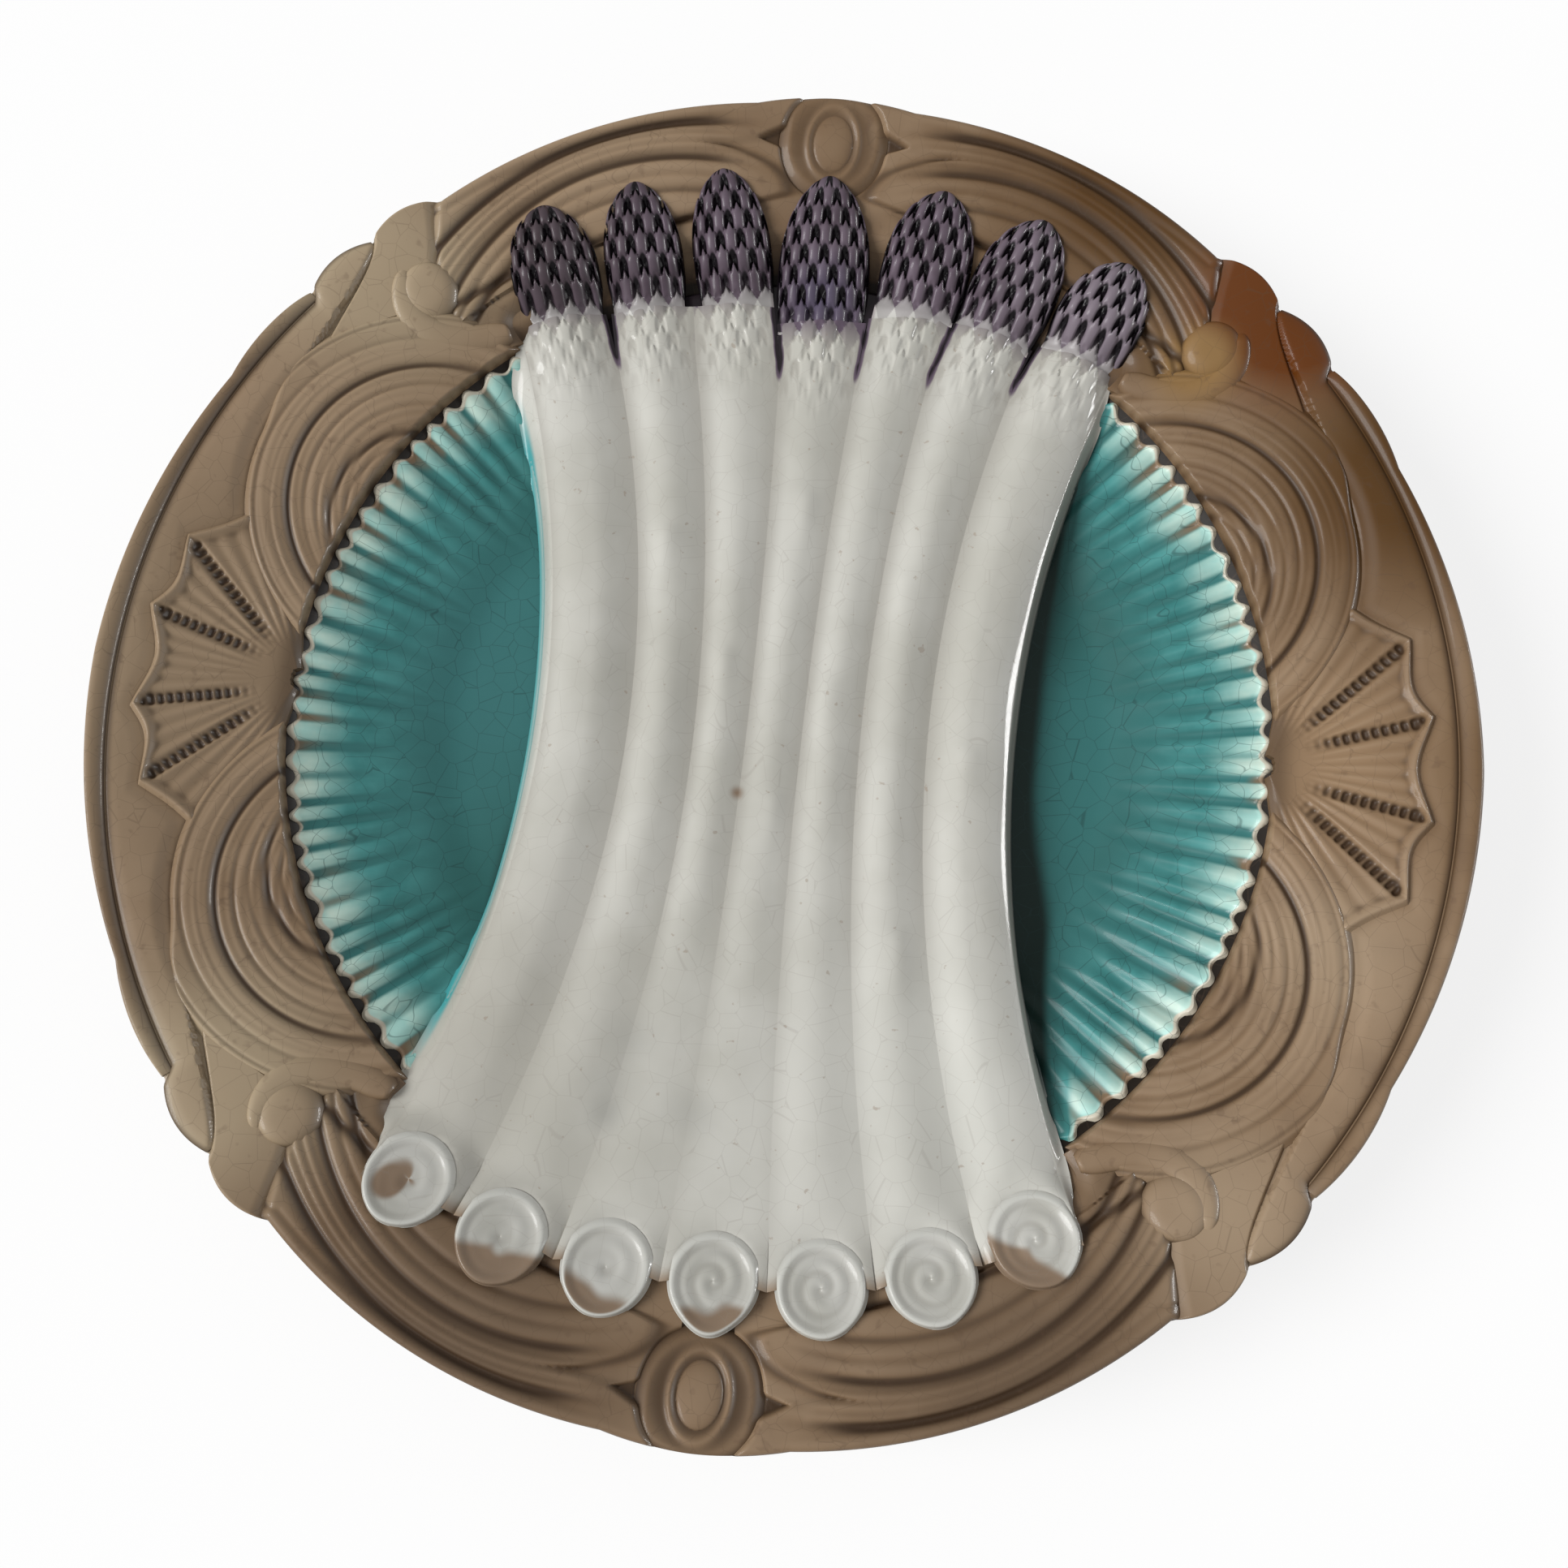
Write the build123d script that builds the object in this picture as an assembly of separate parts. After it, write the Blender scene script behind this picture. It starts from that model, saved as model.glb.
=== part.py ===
from build123d import *
import os
from math import atan2, cos, degrees, hypot, radians, sin, tan

# Asparagus plate of glazed earthenware: a round dish on a foot ring, a raised cradle of
# seven spears across the middle, a fluted well on each side and a moulded rim.
# Millimetres. The origin is the middle of the foot, +Z is up, +Y points to the spear tips.

# Dish and foot
plate_radius = 120.0
well_radius = 88.0            # edge between the wells and the rim
lip_height = 18.0             # rim face at the wells, above the table
rim_rise = 9.0                # climb of the rim face from the wells to the edge
rim_wall = 5.0
edge_allowance = 2.0          # stock outside plate_radius that the lobed outline trims
floor_height = 8.0            # glazed floor of the wells, above the table
floor_radius = 60.0
well_shell = 2.0              # thickness of the fluted well shells
foot_height = 3.0
foot_radius = 66.0
foot_width = 5.0

# Cradle and stalks
bed_height = 14.0             # bed under the stalks at the waist of the cradle
stalk_seat = 1.5              # stock of a stalk below the bed, trimmed to its seat
stalk_valley = 1.5            # groove between two stalks, above the bed
stalk_relief = 2.2            # crown of a stalk above its grooves
pocket_wall = 6.0             # cradle wall left round the hollow in the back
pocket_roof = 5.0             # thickness left over the hollow
groove_head_across = -0.5     # the stalks start to separate here, share of the rim's width
groove_head_angles = [-38.0, -28.0, -17.5, -5.0, 7.0, 17.5, 28.5, 38.0]
groove_waist = [-42.0, -26.5, -14.5, -5.0, 5.0, 15.5, 27.5, 42.0]

# Spear tips: direction from +Y and share of the rim's width, at the base and at the point
tip_base = [(-34.7, 0.05), (-24.5, 0.0), (-13, -0.06), (0.5, -0.37), (12.5, -0.14), (23, -0.1), (33.5, 0.05)]
tip_point = [(-29.5, 0.68), (-20, 0.64), (-11, 0.63), (0, 0.58), (12, 0.6), (22.5, 0.63), (32, 0.64)]
tip_half_width = [7.1, 7.0, 7.6, 8.6, 7.5, 7.5, 7.2]
tip_height = 4.2
tip_clearance = 0.15          # gap between a tip and the reeded leaf about it
tip_stock = 6.0               # length of the tip's body that the stalk's end trims

# Cut ends: even fan about -Y, each at its own share of the rim's width
cut_end_step = 10.5
cut_end_across = [0.34, 0.32, 0.26, 0.22, 0.25, 0.29, 0.30]
cut_end_radius = 7.6
cut_end_height = 3.2
cut_end_ring = 1.0
cut_end_recess = 0.7

# Wells
flute_count = 110             # flutes in a full turn
flute_depth = 0.9
flute_width = 2.6
flute_end = 6.0               # the flutes stop this far outside the flat floor

# Moulded rim, heights above the rim face
border_height = 1.2
band_height = 0.8
scroll_height = 2.2
shell_height = 1.0
shell_lip_height = 1.8
shell_lip_width = 1.4
volute_height = 2.6
volute_radius = 5.5
volute_center = (46.2, 0.54)  # angle from +X and share of the rim's width
leaf_height = 1.5
reed_height = 1.6
medallion_height = 1.2
medallion_boss_height = 2.2
medallion_across = 0.745      # middle of the medallion, share of the rim's width
medallion_half_width = 8.0
medallion_half_height = 8.8
boss_half_width = 4.3
boss_half_height = 5.7
groove_width = 1.0
groove_depth = 0.7

# Notches of the lobed edge in the upper right quarter: angle from +X and share of the rim's width
band_corner = (37.6, 0.965)
leaf_corner = (44.8, 0.965)
leaf_bow = (48.6, 1.015)
reed_corner = (52.0, 0.94)
frame_corner = (82.8, 0.985)
border_across = 0.895         # inner line of the border along the sides
scroll_grooves = [1.6, 7.4, 14.8]   # grooves of a scroll, in from its outer edge

# Derived sizes
rim_width = plate_radius - well_radius
spear_count = len(tip_base)
above_plate = lip_height + rim_rise + plate_radius


def polar(radius, angle):
    """Point in plan at a radius and an angle from +X in degrees."""
    return (radius * cos(radians(angle)), radius * sin(radians(angle)))


def rim_point(angle, across):
    """Point in plan at an angle from +X, across the rim from 0 at the wells to 1 at the edge."""
    return polar(well_radius + across * rim_width, angle)


def spear_point(angle, across):
    """Rim point at an angle from +Y, positive towards +X."""
    return rim_point(90 - angle, across)


def rim_z(radius):
    """Height of the rim face."""
    return lip_height + rim_rise * (radius - well_radius) / rim_width


def bed_radius():
    """Radius of the lengthwise hollow of the bed, which ends level with the rim face."""
    rise = lip_height - bed_height
    return (well_radius**2 + rise**2) / (2 * rise)


def bed_z(y):
    """Height of the bed under the stalks."""
    return bed_height + bed_radius() - (bed_radius()**2 - y**2) ** 0.5


def disc(radius, center=(0, 0)):
    """Plan disc."""
    return Pos(*center) * Circle(radius)


def polygon(*points):
    """Straight-sided face."""
    return make_face(Polyline(*points, close=True))


def sector(start, end):
    """Wedge of the plan between two angles less than a half turn apart."""
    reach = 3 * plate_radius
    return polygon((0, 0), polar(reach, start), polar(reach, (start + end) / 2), polar(reach, end))


def arc_disc(start, middle, end):
    """Full disc whose edge passes through three points."""
    arc = ThreePointArc(start, middle, end)
    return disc(arc.radius, (arc.arc_center.X, arc.arc_center.Y))


def arc_groove(start, middle, end):
    """Ring of the groove's width whose middle line passes through three points."""
    arc = ThreePointArc(start, middle, end)
    center = (arc.arc_center.X, arc.arc_center.Y)
    return disc(arc.radius + groove_width / 2, center) - disc(arc.radius - groove_width / 2, center)


def main_solid(shape):
    """Largest solid of a trimmed shape, without the offcuts under its seat."""
    return max(shape.solids(), key=lambda solid: solid.volume)


def prism(plan, height):
    """Upright prism on a plan outline, from the table."""
    return extrude(plan, amount=height, dir=(0, 0, 1))


def layer(height):
    """Conical layer of the given height on the rim face."""
    inner = well_radius - rim_width
    outer = plate_radius + 2 * edge_allowance
    section = polygon(
        (inner, rim_z(inner)),
        (outer, rim_z(outer)),
        (outer, rim_z(outer) + height),
        (inner, rim_z(inner) + height),
    )
    return revolve(Plane.XZ * section, Axis.Z)


def relief(plan, height):
    """Moulding of a plan outline that stands the given height on the rim face."""
    return prism(plan, above_plate) & layer(height)


def grooved_relief(plan, height, grooves):
    """Relief with grooves of the common depth."""
    return relief(plan - grooves, height) + relief(plan, height - groove_depth)


def quarters(plan):
    """The same outline in the four quarters, with the quarter's name."""
    return {
        "upper_right": plan,
        "upper_left": mirror(plan, about=Plane.YZ),
        "lower_right": mirror(plan, about=Plane.XZ),
        "lower_left": mirror(mirror(plan, about=Plane.YZ), about=Plane.XZ),
    }


def outline_arcs():
    """Lobed edge of the plate in the upper right quarter, as start, middle and end of each arc."""
    corners = [(0, 1.02), (27, 0.97), band_corner, leaf_corner, reed_corner, frame_corner, (90, 1.015)]
    middles = [(14, 1.0), (33, 0.995), (41.4, 1.02), leaf_bow, (67, 0.99), (86, 1.005)]
    return list(zip(corners[:-1], middles, corners[1:]))


def outline():
    """Plan of the whole plate."""
    edges = []
    for turn, side in ((0, 1), (180, -1), (180, 1), (360, -1)):
        for arc in outline_arcs():
            edges.append(ThreePointArc(*[rim_point(turn + side * angle, across) for angle, across in arc]))
    return make_face(edges)


def foot_point(index):
    """Plan point where a groove between stalks ends between two cut ends, or beside the outer one."""
    if index == 0:
        x, y = cut_end_center(0)
        return (x - cut_end_radius, y)
    if index == spear_count:
        x, y = cut_end_center(spear_count - 1)
        return (x + cut_end_radius, y)
    left = cut_end_center(index - 1)
    right = cut_end_center(index)
    return ((left[0] + right[0]) / 2, (left[1] + right[1]) / 2)


def head_point(index):
    """Plan point where a groove between stalks opens towards the tips."""
    y = well_radius + groove_head_across * rim_width
    return (y * tan(radians(groove_head_angles[index])), y)


def groove_x(index, y):
    """Parabola through the head, waist and foot of a groove between stalks."""
    head_x, head_y = head_point(index)
    foot_x, foot_y = foot_point(index)
    at_head = y * (y - foot_y) / (head_y * (head_y - foot_y))
    at_foot = y * (y - head_y) / (foot_y * (foot_y - head_y))
    at_waist = (y - head_y) * (y - foot_y) / (head_y * foot_y)
    return head_x * at_head + foot_x * at_foot + groove_waist[index] * at_waist


def groove_curve(index):
    """The same parabola as a curve from foot to head."""
    foot = foot_point(index)
    head = head_point(index)
    middle_y = (foot[1] + head[1]) / 2
    pull = 2 * groove_x(index, middle_y) - (foot[0] + head[0]) / 2
    return Bezier(foot, (pull, middle_y), head)


def cut_end_center(index):
    """Middle of a cut end in the fan at the foot of the spears."""
    return spear_point(180 - cut_end_step * (index - (spear_count - 1) / 2), cut_end_across[index])


def cut_end_discs():
    """Plans of the seven cut ends."""
    return [disc(cut_end_radius, cut_end_center(i)) for i in range(spear_count)]


def tip_corners(index):
    """Left and right corner of a tip's base, square to the line from base to point."""
    base = Vector(*spear_point(*tip_base[index]))
    along = (Vector(*spear_point(*tip_point[index])) - base).normalized()
    across = Vector(along.Y, -along.X) * tip_half_width[index]
    return base - across, base + across


def tip_plan(index):
    """Pointed outline of a tip: two arcs from the base to the point."""
    left, right = tip_corners(index)
    point = Vector(*spear_point(*tip_point[index]))
    half_way = (point - (left + right) / 2) / 2
    return make_face([
        Line(right, left),
        ThreePointArc(left, left + half_way, point),
        ThreePointArc(point, right + half_way, right),
    ])


def stalk_plan(index):
    """Strip between two grooves, from the cut end to the base of the tip."""
    left, right = tip_corners(index)
    strip = make_face([
        Line(foot_point(index + 1), cut_end_center(index)),
        Line(cut_end_center(index), foot_point(index)),
        groove_curve(index),
        Line(head_point(index), left),
        Line(left, right),
        Line(right, head_point(index + 1)),
        groove_curve(index + 1),
    ])
    return strip - cut_end_discs()


def cradle_plan(inset=0.0):
    """Waisted plan of the cradle inside the wells' edge."""
    side_inset = Vector(inset, 0)
    left = groove_curve(0)
    right = groove_curve(spear_count)
    waist = make_face([
        Pos(side_inset) * left,
        Line((left @ 1) + side_inset, (right @ 1) - side_inset),
        Pos(-side_inset) * right,
        Line((right @ 0) - side_inset, (left @ 0) + side_inset),
    ])
    reach = 2 * plate_radius
    head_y = head_point(0)[1]
    foot_y = max(foot_point(0)[1], foot_point(spear_count)[1])
    head_end = polygon((-reach, head_y), (reach, head_y), (reach, reach), (-reach, reach))
    foot_end = polygon((-reach, foot_y), (reach, foot_y), (reach, -reach), (-reach, -reach))
    return (waist + head_end + foot_end) & disc(well_radius - inset)


def dish(pocket):
    """Turned dish with a flat floor, a coved side and a sloping rim, trimmed to the lobed edge."""
    outer = plate_radius + edge_allowance
    section = polygon(
        (0, foot_height),
        (foot_radius, foot_height),
        (well_radius, lip_height - rim_wall),
        (outer, rim_z(outer) - rim_wall),
        (outer, rim_z(outer)),
        (well_radius, lip_height),
        (well_radius, lip_height - well_shell),
        (floor_radius, floor_height - well_shell),
        (0, floor_height - well_shell),
    )
    turned = revolve(Plane.XZ * section, Axis.Z)
    return (turned & prism(outline(), above_plate)) - pocket


def foot_ring():
    """Unglazed ring that the plate stands on."""
    ring = disc(foot_radius) - disc(foot_radius - foot_width)
    return prism(ring, foot_height)


def back_pocket():
    """Hollow that the pressed cradle leaves in the back, inside the foot."""
    plan = cradle_plan(pocket_wall) & disc(foot_radius - foot_width - pocket_wall)
    return prism(plan, bed_height - pocket_roof)


def cradle(body, pocket):
    """Raised bed of the spears, hollowed lengthwise, on the floor of the dish."""
    block = Pos(0, 0, floor_height - well_shell) * prism(cradle_plan(), above_plate)
    axis_height = bed_height + bed_radius()
    hollow = Pos(0, 0, axis_height) * Rot(0, 90, 0) * Cylinder(bed_radius(), 4 * plate_radius)
    return main_solid(block - hollow - body - pocket)


def stalk_section(index, y):
    """Section of a stalk: flat below, crowned above, one groove's width over on each side."""
    left = groove_x(index, y) - groove_width
    right = groove_x(index + 1, y) + groove_width
    middle = (left + right) / 2
    half = (right - left) / 2
    crown = bed_z(y) + stalk_valley + stalk_relief
    side = crown - stalk_relief * (half / (half - groove_width)) ** 2
    base = bed_z(y) - stalk_seat
    section = make_face([
        ThreePointArc((left, side), (middle, crown), (right, side)),
        Line((right, side), (right, base)),
        Line((right, base), (left, base)),
        Line((left, base), (left, side)),
    ])
    return Plane((0, y, 0), x_dir=(1, 0, 0), z_dir=(0, -1, 0)) * section


def stalk(index, support):
    """White stalk of one spear, seated on the cradle and the rim."""
    reach = well_radius + 0.5 * rim_width
    stations = [-reach, -reach / 2, 0, reach / 2, reach]
    body = loft([stalk_section(index, y) for y in stations])
    return main_solid((body & prism(stalk_plan(index), above_plate)) - support)


def tip(index, support):
    """Head of one spear: the upper part of a sunk spindle that lies on the rim."""
    left, right = tip_corners(index)
    base = (left + right) / 2
    point = Vector(*spear_point(*tip_point[index]))
    start = Vector(base.X, base.Y, bed_z(base.Y) + stalk_valley + stalk_relief - tip_height)
    end = Vector(point.X, point.Y, rim_z(hypot(point.X, point.Y)))
    length = (end - start).length
    radius = (tip_height**2 + tip_half_width[index] ** 2) / (2 * tip_height)
    sunk = radius - tip_height
    profile = make_face([
        Polyline((0, length), (0, -tip_stock), (-radius, -tip_stock), (-radius, 0)),
        ThreePointArc((-radius, 0), (-radius, length / 2), (-sunk, length)),
        Line((-sunk, length), (0, length)),
    ])
    spindle = Pos(0, 0, -sunk) * revolve(profile, Axis.Y, 180)
    along = (end - start).normalized()
    sideways = Vector(along.Y, -along.X, 0).normalized()
    placed = Plane(start, x_dir=sideways, z_dir=sideways.cross(along)) * spindle
    return main_solid((placed & prism(tip_plan(index), above_plate)) - support)


def cut_end(index, support):
    """Round cut face at the foot of one spear, sunk inside a raised ring."""
    center = cut_end_center(index)
    ring = disc(cut_end_radius, center) - disc(cut_end_radius - cut_end_ring, center)
    face = disc(cut_end_radius, center)
    return relief(ring, cut_end_height) + relief(face, cut_end_height - cut_end_recess) - support


def spear_plans():
    """Plan of everything that the spears cover."""
    plans = cut_end_discs()
    for index in range(spear_count):
        plans += [stalk_plan(index), offset(tip_plan(index), tip_clearance)]
    return plans


def well_layer():
    """Floor and side of both wells as one turned shell."""
    section = polygon(
        (0, floor_height - well_shell),
        (floor_radius, floor_height - well_shell),
        (well_radius, lip_height - well_shell),
        (well_radius, lip_height),
        (floor_radius, floor_height),
        (0, floor_height),
    )
    return revolve(Plane.XZ * section, Axis.Z)


def well_z(radius):
    """Height of the glazed side of a well."""
    return floor_height + (lip_height - floor_height) * (radius - floor_radius) / (well_radius - floor_radius)


def flutes():
    """Grooves down the sides of the wells, deepest at the edge and gone before the floor."""
    radius = (flute_width**2 / 4 + flute_depth**2) / (2 * flute_depth)
    end_radius = floor_radius + flute_end
    run = well_radius - end_radius
    drop = lip_height - flute_depth - well_z(end_radius)
    slope = degrees(atan2(drop, run))
    lying = Pos(0, 0, radius) * Rot(0, 90, 0) * Cylinder(radius, 2 * (hypot(run, drop) + radius))
    groove = Pos(well_radius, 0, lip_height - flute_depth) * Rot(0, -slope, 0) * lying
    return [Rot(0, 0, 360 * step / flute_count) * groove for step in range(flute_count)]


def well(side, covered):
    """Turquoise well on one side of the cradle: floor and fluted side."""
    half = polygon(*[(side * x, y) for x, y in (
        (0, -plate_radius), (plate_radius, -plate_radius), (plate_radius, plate_radius), (0, plate_radius))])
    plan = (disc(well_radius) & half) - covered
    shell = well_layer() & prism(plan, above_plate)
    clear_of_waist = [groove for groove in flutes() if side * groove.center().X > groove_waist[-1]]
    return shell - clear_of_waist


def scroll_disc():
    """Disc that bounds the scroll in the upper right quarter."""
    return arc_disc(rim_point(6.5, 0.1), rim_point(18.6, 0.58), rim_point(35.3, 0.62))


def scroll_rings():
    """Grooves of the scroll, round the same middle as its edge."""
    edge = scroll_disc().edge()
    center = (edge.arc_center.X, edge.arc_center.Y)
    rings = []
    for inset in scroll_grooves:
        middle = edge.radius - inset
        rings.append(disc(middle + groove_width / 2, center) - disc(middle - groove_width / 2, center))
    return rings


def volute_plan():
    """Round head with a tail that sweeps back to the wells' edge."""
    head = disc(volute_radius, rim_point(*volute_center))
    outer = ThreePointArc(rim_point(43.4, 0.6), rim_point(42.2, 0.33), rim_point(48, -0.02))
    inner = ThreePointArc(rim_point(51.4, 0.16), rim_point(47.4, 0.25), rim_point(45.6, 0.42))
    tail = make_face([outer, Line(outer @ 1, inner @ 0), inner, Line(inner @ 1, outer @ 0)])
    return (head + tail) - disc(well_radius)


def shell_plan():
    """Fan with a scalloped edge between the two scrolls on the right."""
    points = [(16.2, 0.54), (12.2, 0.73), (4.8, 0.79)]
    bows = [(13.9, 0.63), (8.6, 0.7), (0, 0.71)]
    points += [(-angle, across) for angle, across in reversed(points)]
    bows += [(-angle, across) for angle, across in reversed(bows[:-1])]
    corners = [rim_point(*point) for point in points]
    middles = [rim_point(*bow) for bow in bows]
    edge = [ThreePointArc(*arc) for arc in zip(corners[:-1], middles, corners[1:])]
    fan = make_face(edge + [Line(corners[-1], (0, 0)), Line((0, 0), corners[0])])
    scrolls = [scroll_disc(), mirror(scroll_disc(), about=Plane.XZ)]
    return fan - scrolls - disc(well_radius)


def leaf_plan():
    """Lobe of the corner between the volute and the side band."""
    outer = ThreePointArc(rim_point(*leaf_corner), rim_point(*leaf_bow), rim_point(*reed_corner))
    left = ThreePointArc(outer @ 1, rim_point(49.8, 0.79), rim_point(46.9, 0.69))
    right = ThreePointArc(rim_point(36.4, 0.6), rim_point(41.9, 0.8), outer @ 0)
    under = Polyline(left @ 1, rim_point(*volute_center), rim_point(38, 0.3), right @ 0)
    return make_face([outer, left, under, right]) - [volute_plan(), scroll_disc()]


def main_piece(plan):
    """Largest piece of a plan, without the slivers that crossing outlines leave."""
    return max(plan.faces(), key=lambda face: face.area)


def side_outlines(rim):
    """Plans of the upper scroll, the border and the band on the right side."""
    upper = [scroll_disc(), volute_plan(), leaf_plan()]
    both = upper + [mirror(plan, about=Plane.XZ) for plan in upper]
    border = (rim & sector(-band_corner[0], band_corner[0])) - disc(well_radius + border_across * rim_width)
    band = (rim & sector(-leaf_corner[0], leaf_corner[0])) - border - shell_plan() - both
    scroll = main_piece((scroll_disc() & rim) - volute_plan())
    return scroll, border, main_piece(band)


def medallion_plan(rim):
    """Oval frame at the top of the rim."""
    return Pos(*rim_point(90, medallion_across)) * Ellipse(medallion_half_width, medallion_half_height) & rim


def reed_plan(rim):
    """Reeded leaf between the medallion and the volute in the upper right quarter."""
    taken = [medallion_plan(rim), leaf_plan(), volute_plan(), scroll_disc()]
    return (rim & sector(45, 90)) - taken


def reed_grooves():
    """Main grooves of the reeded leaf."""
    return [
        arc_groove(rim_point(82.7, 0.84), rim_point(67.2, 0.88), rim_point(48.1, 0.69)),
        arc_groove(rim_point(79.9, 0.65), rim_point(70.1, 0.74), rim_point(57.8, 0.65)),
        arc_groove(rim_point(76, 0.48), rim_point(64, 0.6), rim_point(50.7, 0.5)),
    ]


def rim_nodes(spears):
    """Every moulded member of the rim, by name."""
    rim = outline() - disc(well_radius)
    scroll, border, band = side_outlines(rim)
    nodes = {}
    reeds = quarters(reed_plan(rim))
    reed_lines = [quarters(line) for line in reed_grooves()]
    scroll_lines = [quarters(ring) for ring in scroll_rings()]
    volutes = quarters(volute_plan())
    leaves = quarters(leaf_plan())
    scrolls = quarters(scroll)
    for name in reeds:
        free_reed = main_piece(reeds[name] - spears)
        nodes[f"reeded_leaf_{name}"] = grooved_relief(free_reed, reed_height, [q[name] for q in reed_lines])
        nodes[f"scroll_{name}"] = grooved_relief(scrolls[name], scroll_height, [q[name] for q in scroll_lines])
        nodes[f"volute_{name}"] = relief(main_piece(volutes[name] - spears), volute_height)
        nodes[f"corner_leaf_{name}"] = relief(leaves[name], leaf_height)
    for name, turn in (("right", 0), ("left", 180)):
        place = Rot(0, 0, turn)
        lip = place * (shell_plan() - offset(shell_plan(), -shell_lip_width))
        nodes[f"shell_{name}"] = relief(place * shell_plan(), shell_height) + relief(lip, shell_lip_height)
        nodes[f"side_border_{name}"] = relief(place * border, border_height)
        nodes[f"side_band_{name}"] = relief(place * band, band_height)
    boss = Pos(*rim_point(90, medallion_across)) * Ellipse(boss_half_width, boss_half_height)
    for name, turn in (("top", 0), ("bottom", 180)):
        place = Rot(0, 0, turn)
        frame = relief(main_piece(place * medallion_plan(rim) - spears), medallion_height)
        nodes[f"medallion_{name}"] = frame + relief(main_piece(place * boss - spears), medallion_boss_height)
    return nodes


def spear_nodes(support):
    """The seven spears, each a tip, a stalk and a cut end, by name."""
    nodes = {}
    for index in range(spear_count):
        number = index + 1
        nodes[f"tip_{number}"] = tip(index, support)
        nodes[f"stalk_{number}"] = stalk(index, support)
        nodes[f"cut_end_{number}"] = cut_end(index, support)
    return nodes


def plate_nodes():
    """Every piece of the plate, by name."""
    pocket = back_pocket()
    body = dish(pocket)
    bed = cradle(body, pocket)
    nodes = {"dish": body, "foot_ring": foot_ring(), "cradle": bed}
    for name, side in (("right", 1), ("left", -1)):
        nodes[f"well_{name}"] = well(side, cradle_plan())
    nodes.update(spear_nodes([body, bed]))
    nodes.update(rim_nodes(spear_plans()))
    return nodes


os.makedirs("parts", exist_ok=True)
for node_name, solid in plate_nodes().items():
    export_step(solid, f"parts/{node_name}.step")
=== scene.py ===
from math import radians

import bpy
import numpy as np
from mathutils import Matrix, Vector


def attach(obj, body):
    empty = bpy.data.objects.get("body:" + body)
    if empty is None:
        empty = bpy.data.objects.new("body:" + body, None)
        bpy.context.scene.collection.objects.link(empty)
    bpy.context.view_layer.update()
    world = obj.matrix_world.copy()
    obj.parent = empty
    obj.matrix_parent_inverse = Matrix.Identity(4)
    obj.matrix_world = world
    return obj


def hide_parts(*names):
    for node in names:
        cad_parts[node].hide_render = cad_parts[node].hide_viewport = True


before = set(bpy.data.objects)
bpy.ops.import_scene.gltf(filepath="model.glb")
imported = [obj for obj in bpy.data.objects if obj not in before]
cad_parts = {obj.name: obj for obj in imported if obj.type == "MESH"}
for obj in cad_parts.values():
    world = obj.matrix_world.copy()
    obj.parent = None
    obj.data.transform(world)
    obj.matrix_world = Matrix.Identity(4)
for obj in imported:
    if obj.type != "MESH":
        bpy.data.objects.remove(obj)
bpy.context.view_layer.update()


# Dish: the round earthenware body with its sloping rim and lobed edge, pressed in a mould.
# The brown rim glaze covers it and pools in the channel round the wells, where it is also painted near black
# as shadow, and it is painted pale on the edge as a highlight.

well_radius = 88.0
rim_width = 32.0
rim_foot_height = 18.0
rim_climb = 9.0
pocket_waist, pocket_flare, pocket_reach = 36.0, 0.0024, 55.0
lobe_ends = np.array([
    (0, 1.02), (27, 0.97), (37.6, 0.965), (44.8, 0.965), (52, 0.94), (82.8, 0.985), (90, 1.015)])
lobe_middles = np.array([(14, 1.0), (33, 0.995), (41.4, 1.02), (48.6, 1.015), (67, 0.99), (86, 1.005)])


def rim_height(x, y):
    """Height of the rim face over a plan point: a cone that climbs from the wells to the edge."""
    return rim_foot_height + rim_climb * (np.hypot(x, y) - well_radius) / rim_width


def rim_place(angle, across):
    """Plan point at an angle from +X in degrees, across the rim from 0 at the wells to 1 at the edge."""
    radius = well_radius + rim_width * across
    return radius * np.cos(np.radians(angle)), radius * np.sin(np.radians(angle))


def parabola(x, first, second, third):
    """Parabola through three points, as Lagrange's sum of three products."""
    (a, at_a), (b, at_b), (c, at_c) = first, second, third
    return (
        at_a * (x - b) * (x - c) / ((a - b) * (a - c))
        + at_b * (x - a) * (x - c) / ((b - a) * (b - c))
        + at_c * (x - a) * (x - b) / ((c - a) * (c - b))
    )


def edge_across(angle):
    """Share of the rim's width at the lobed edge: the parabola through the ends and middle of each lobe,
    with the angle folded into one quarter."""
    quarter = 90 - np.abs(90 - np.abs((angle + 180) % 360 - 180))
    lobe = np.clip(np.searchsorted(lobe_ends[:, 0], quarter, side="right") - 1, 0, len(lobe_middles) - 1)
    ends, middles = np.moveaxis(lobe_ends, -1, 0), np.moveaxis(lobe_middles, -1, 0)
    return parabola(quarter, ends[:, lobe], middles[:, lobe], ends[:, lobe + 1])


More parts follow.
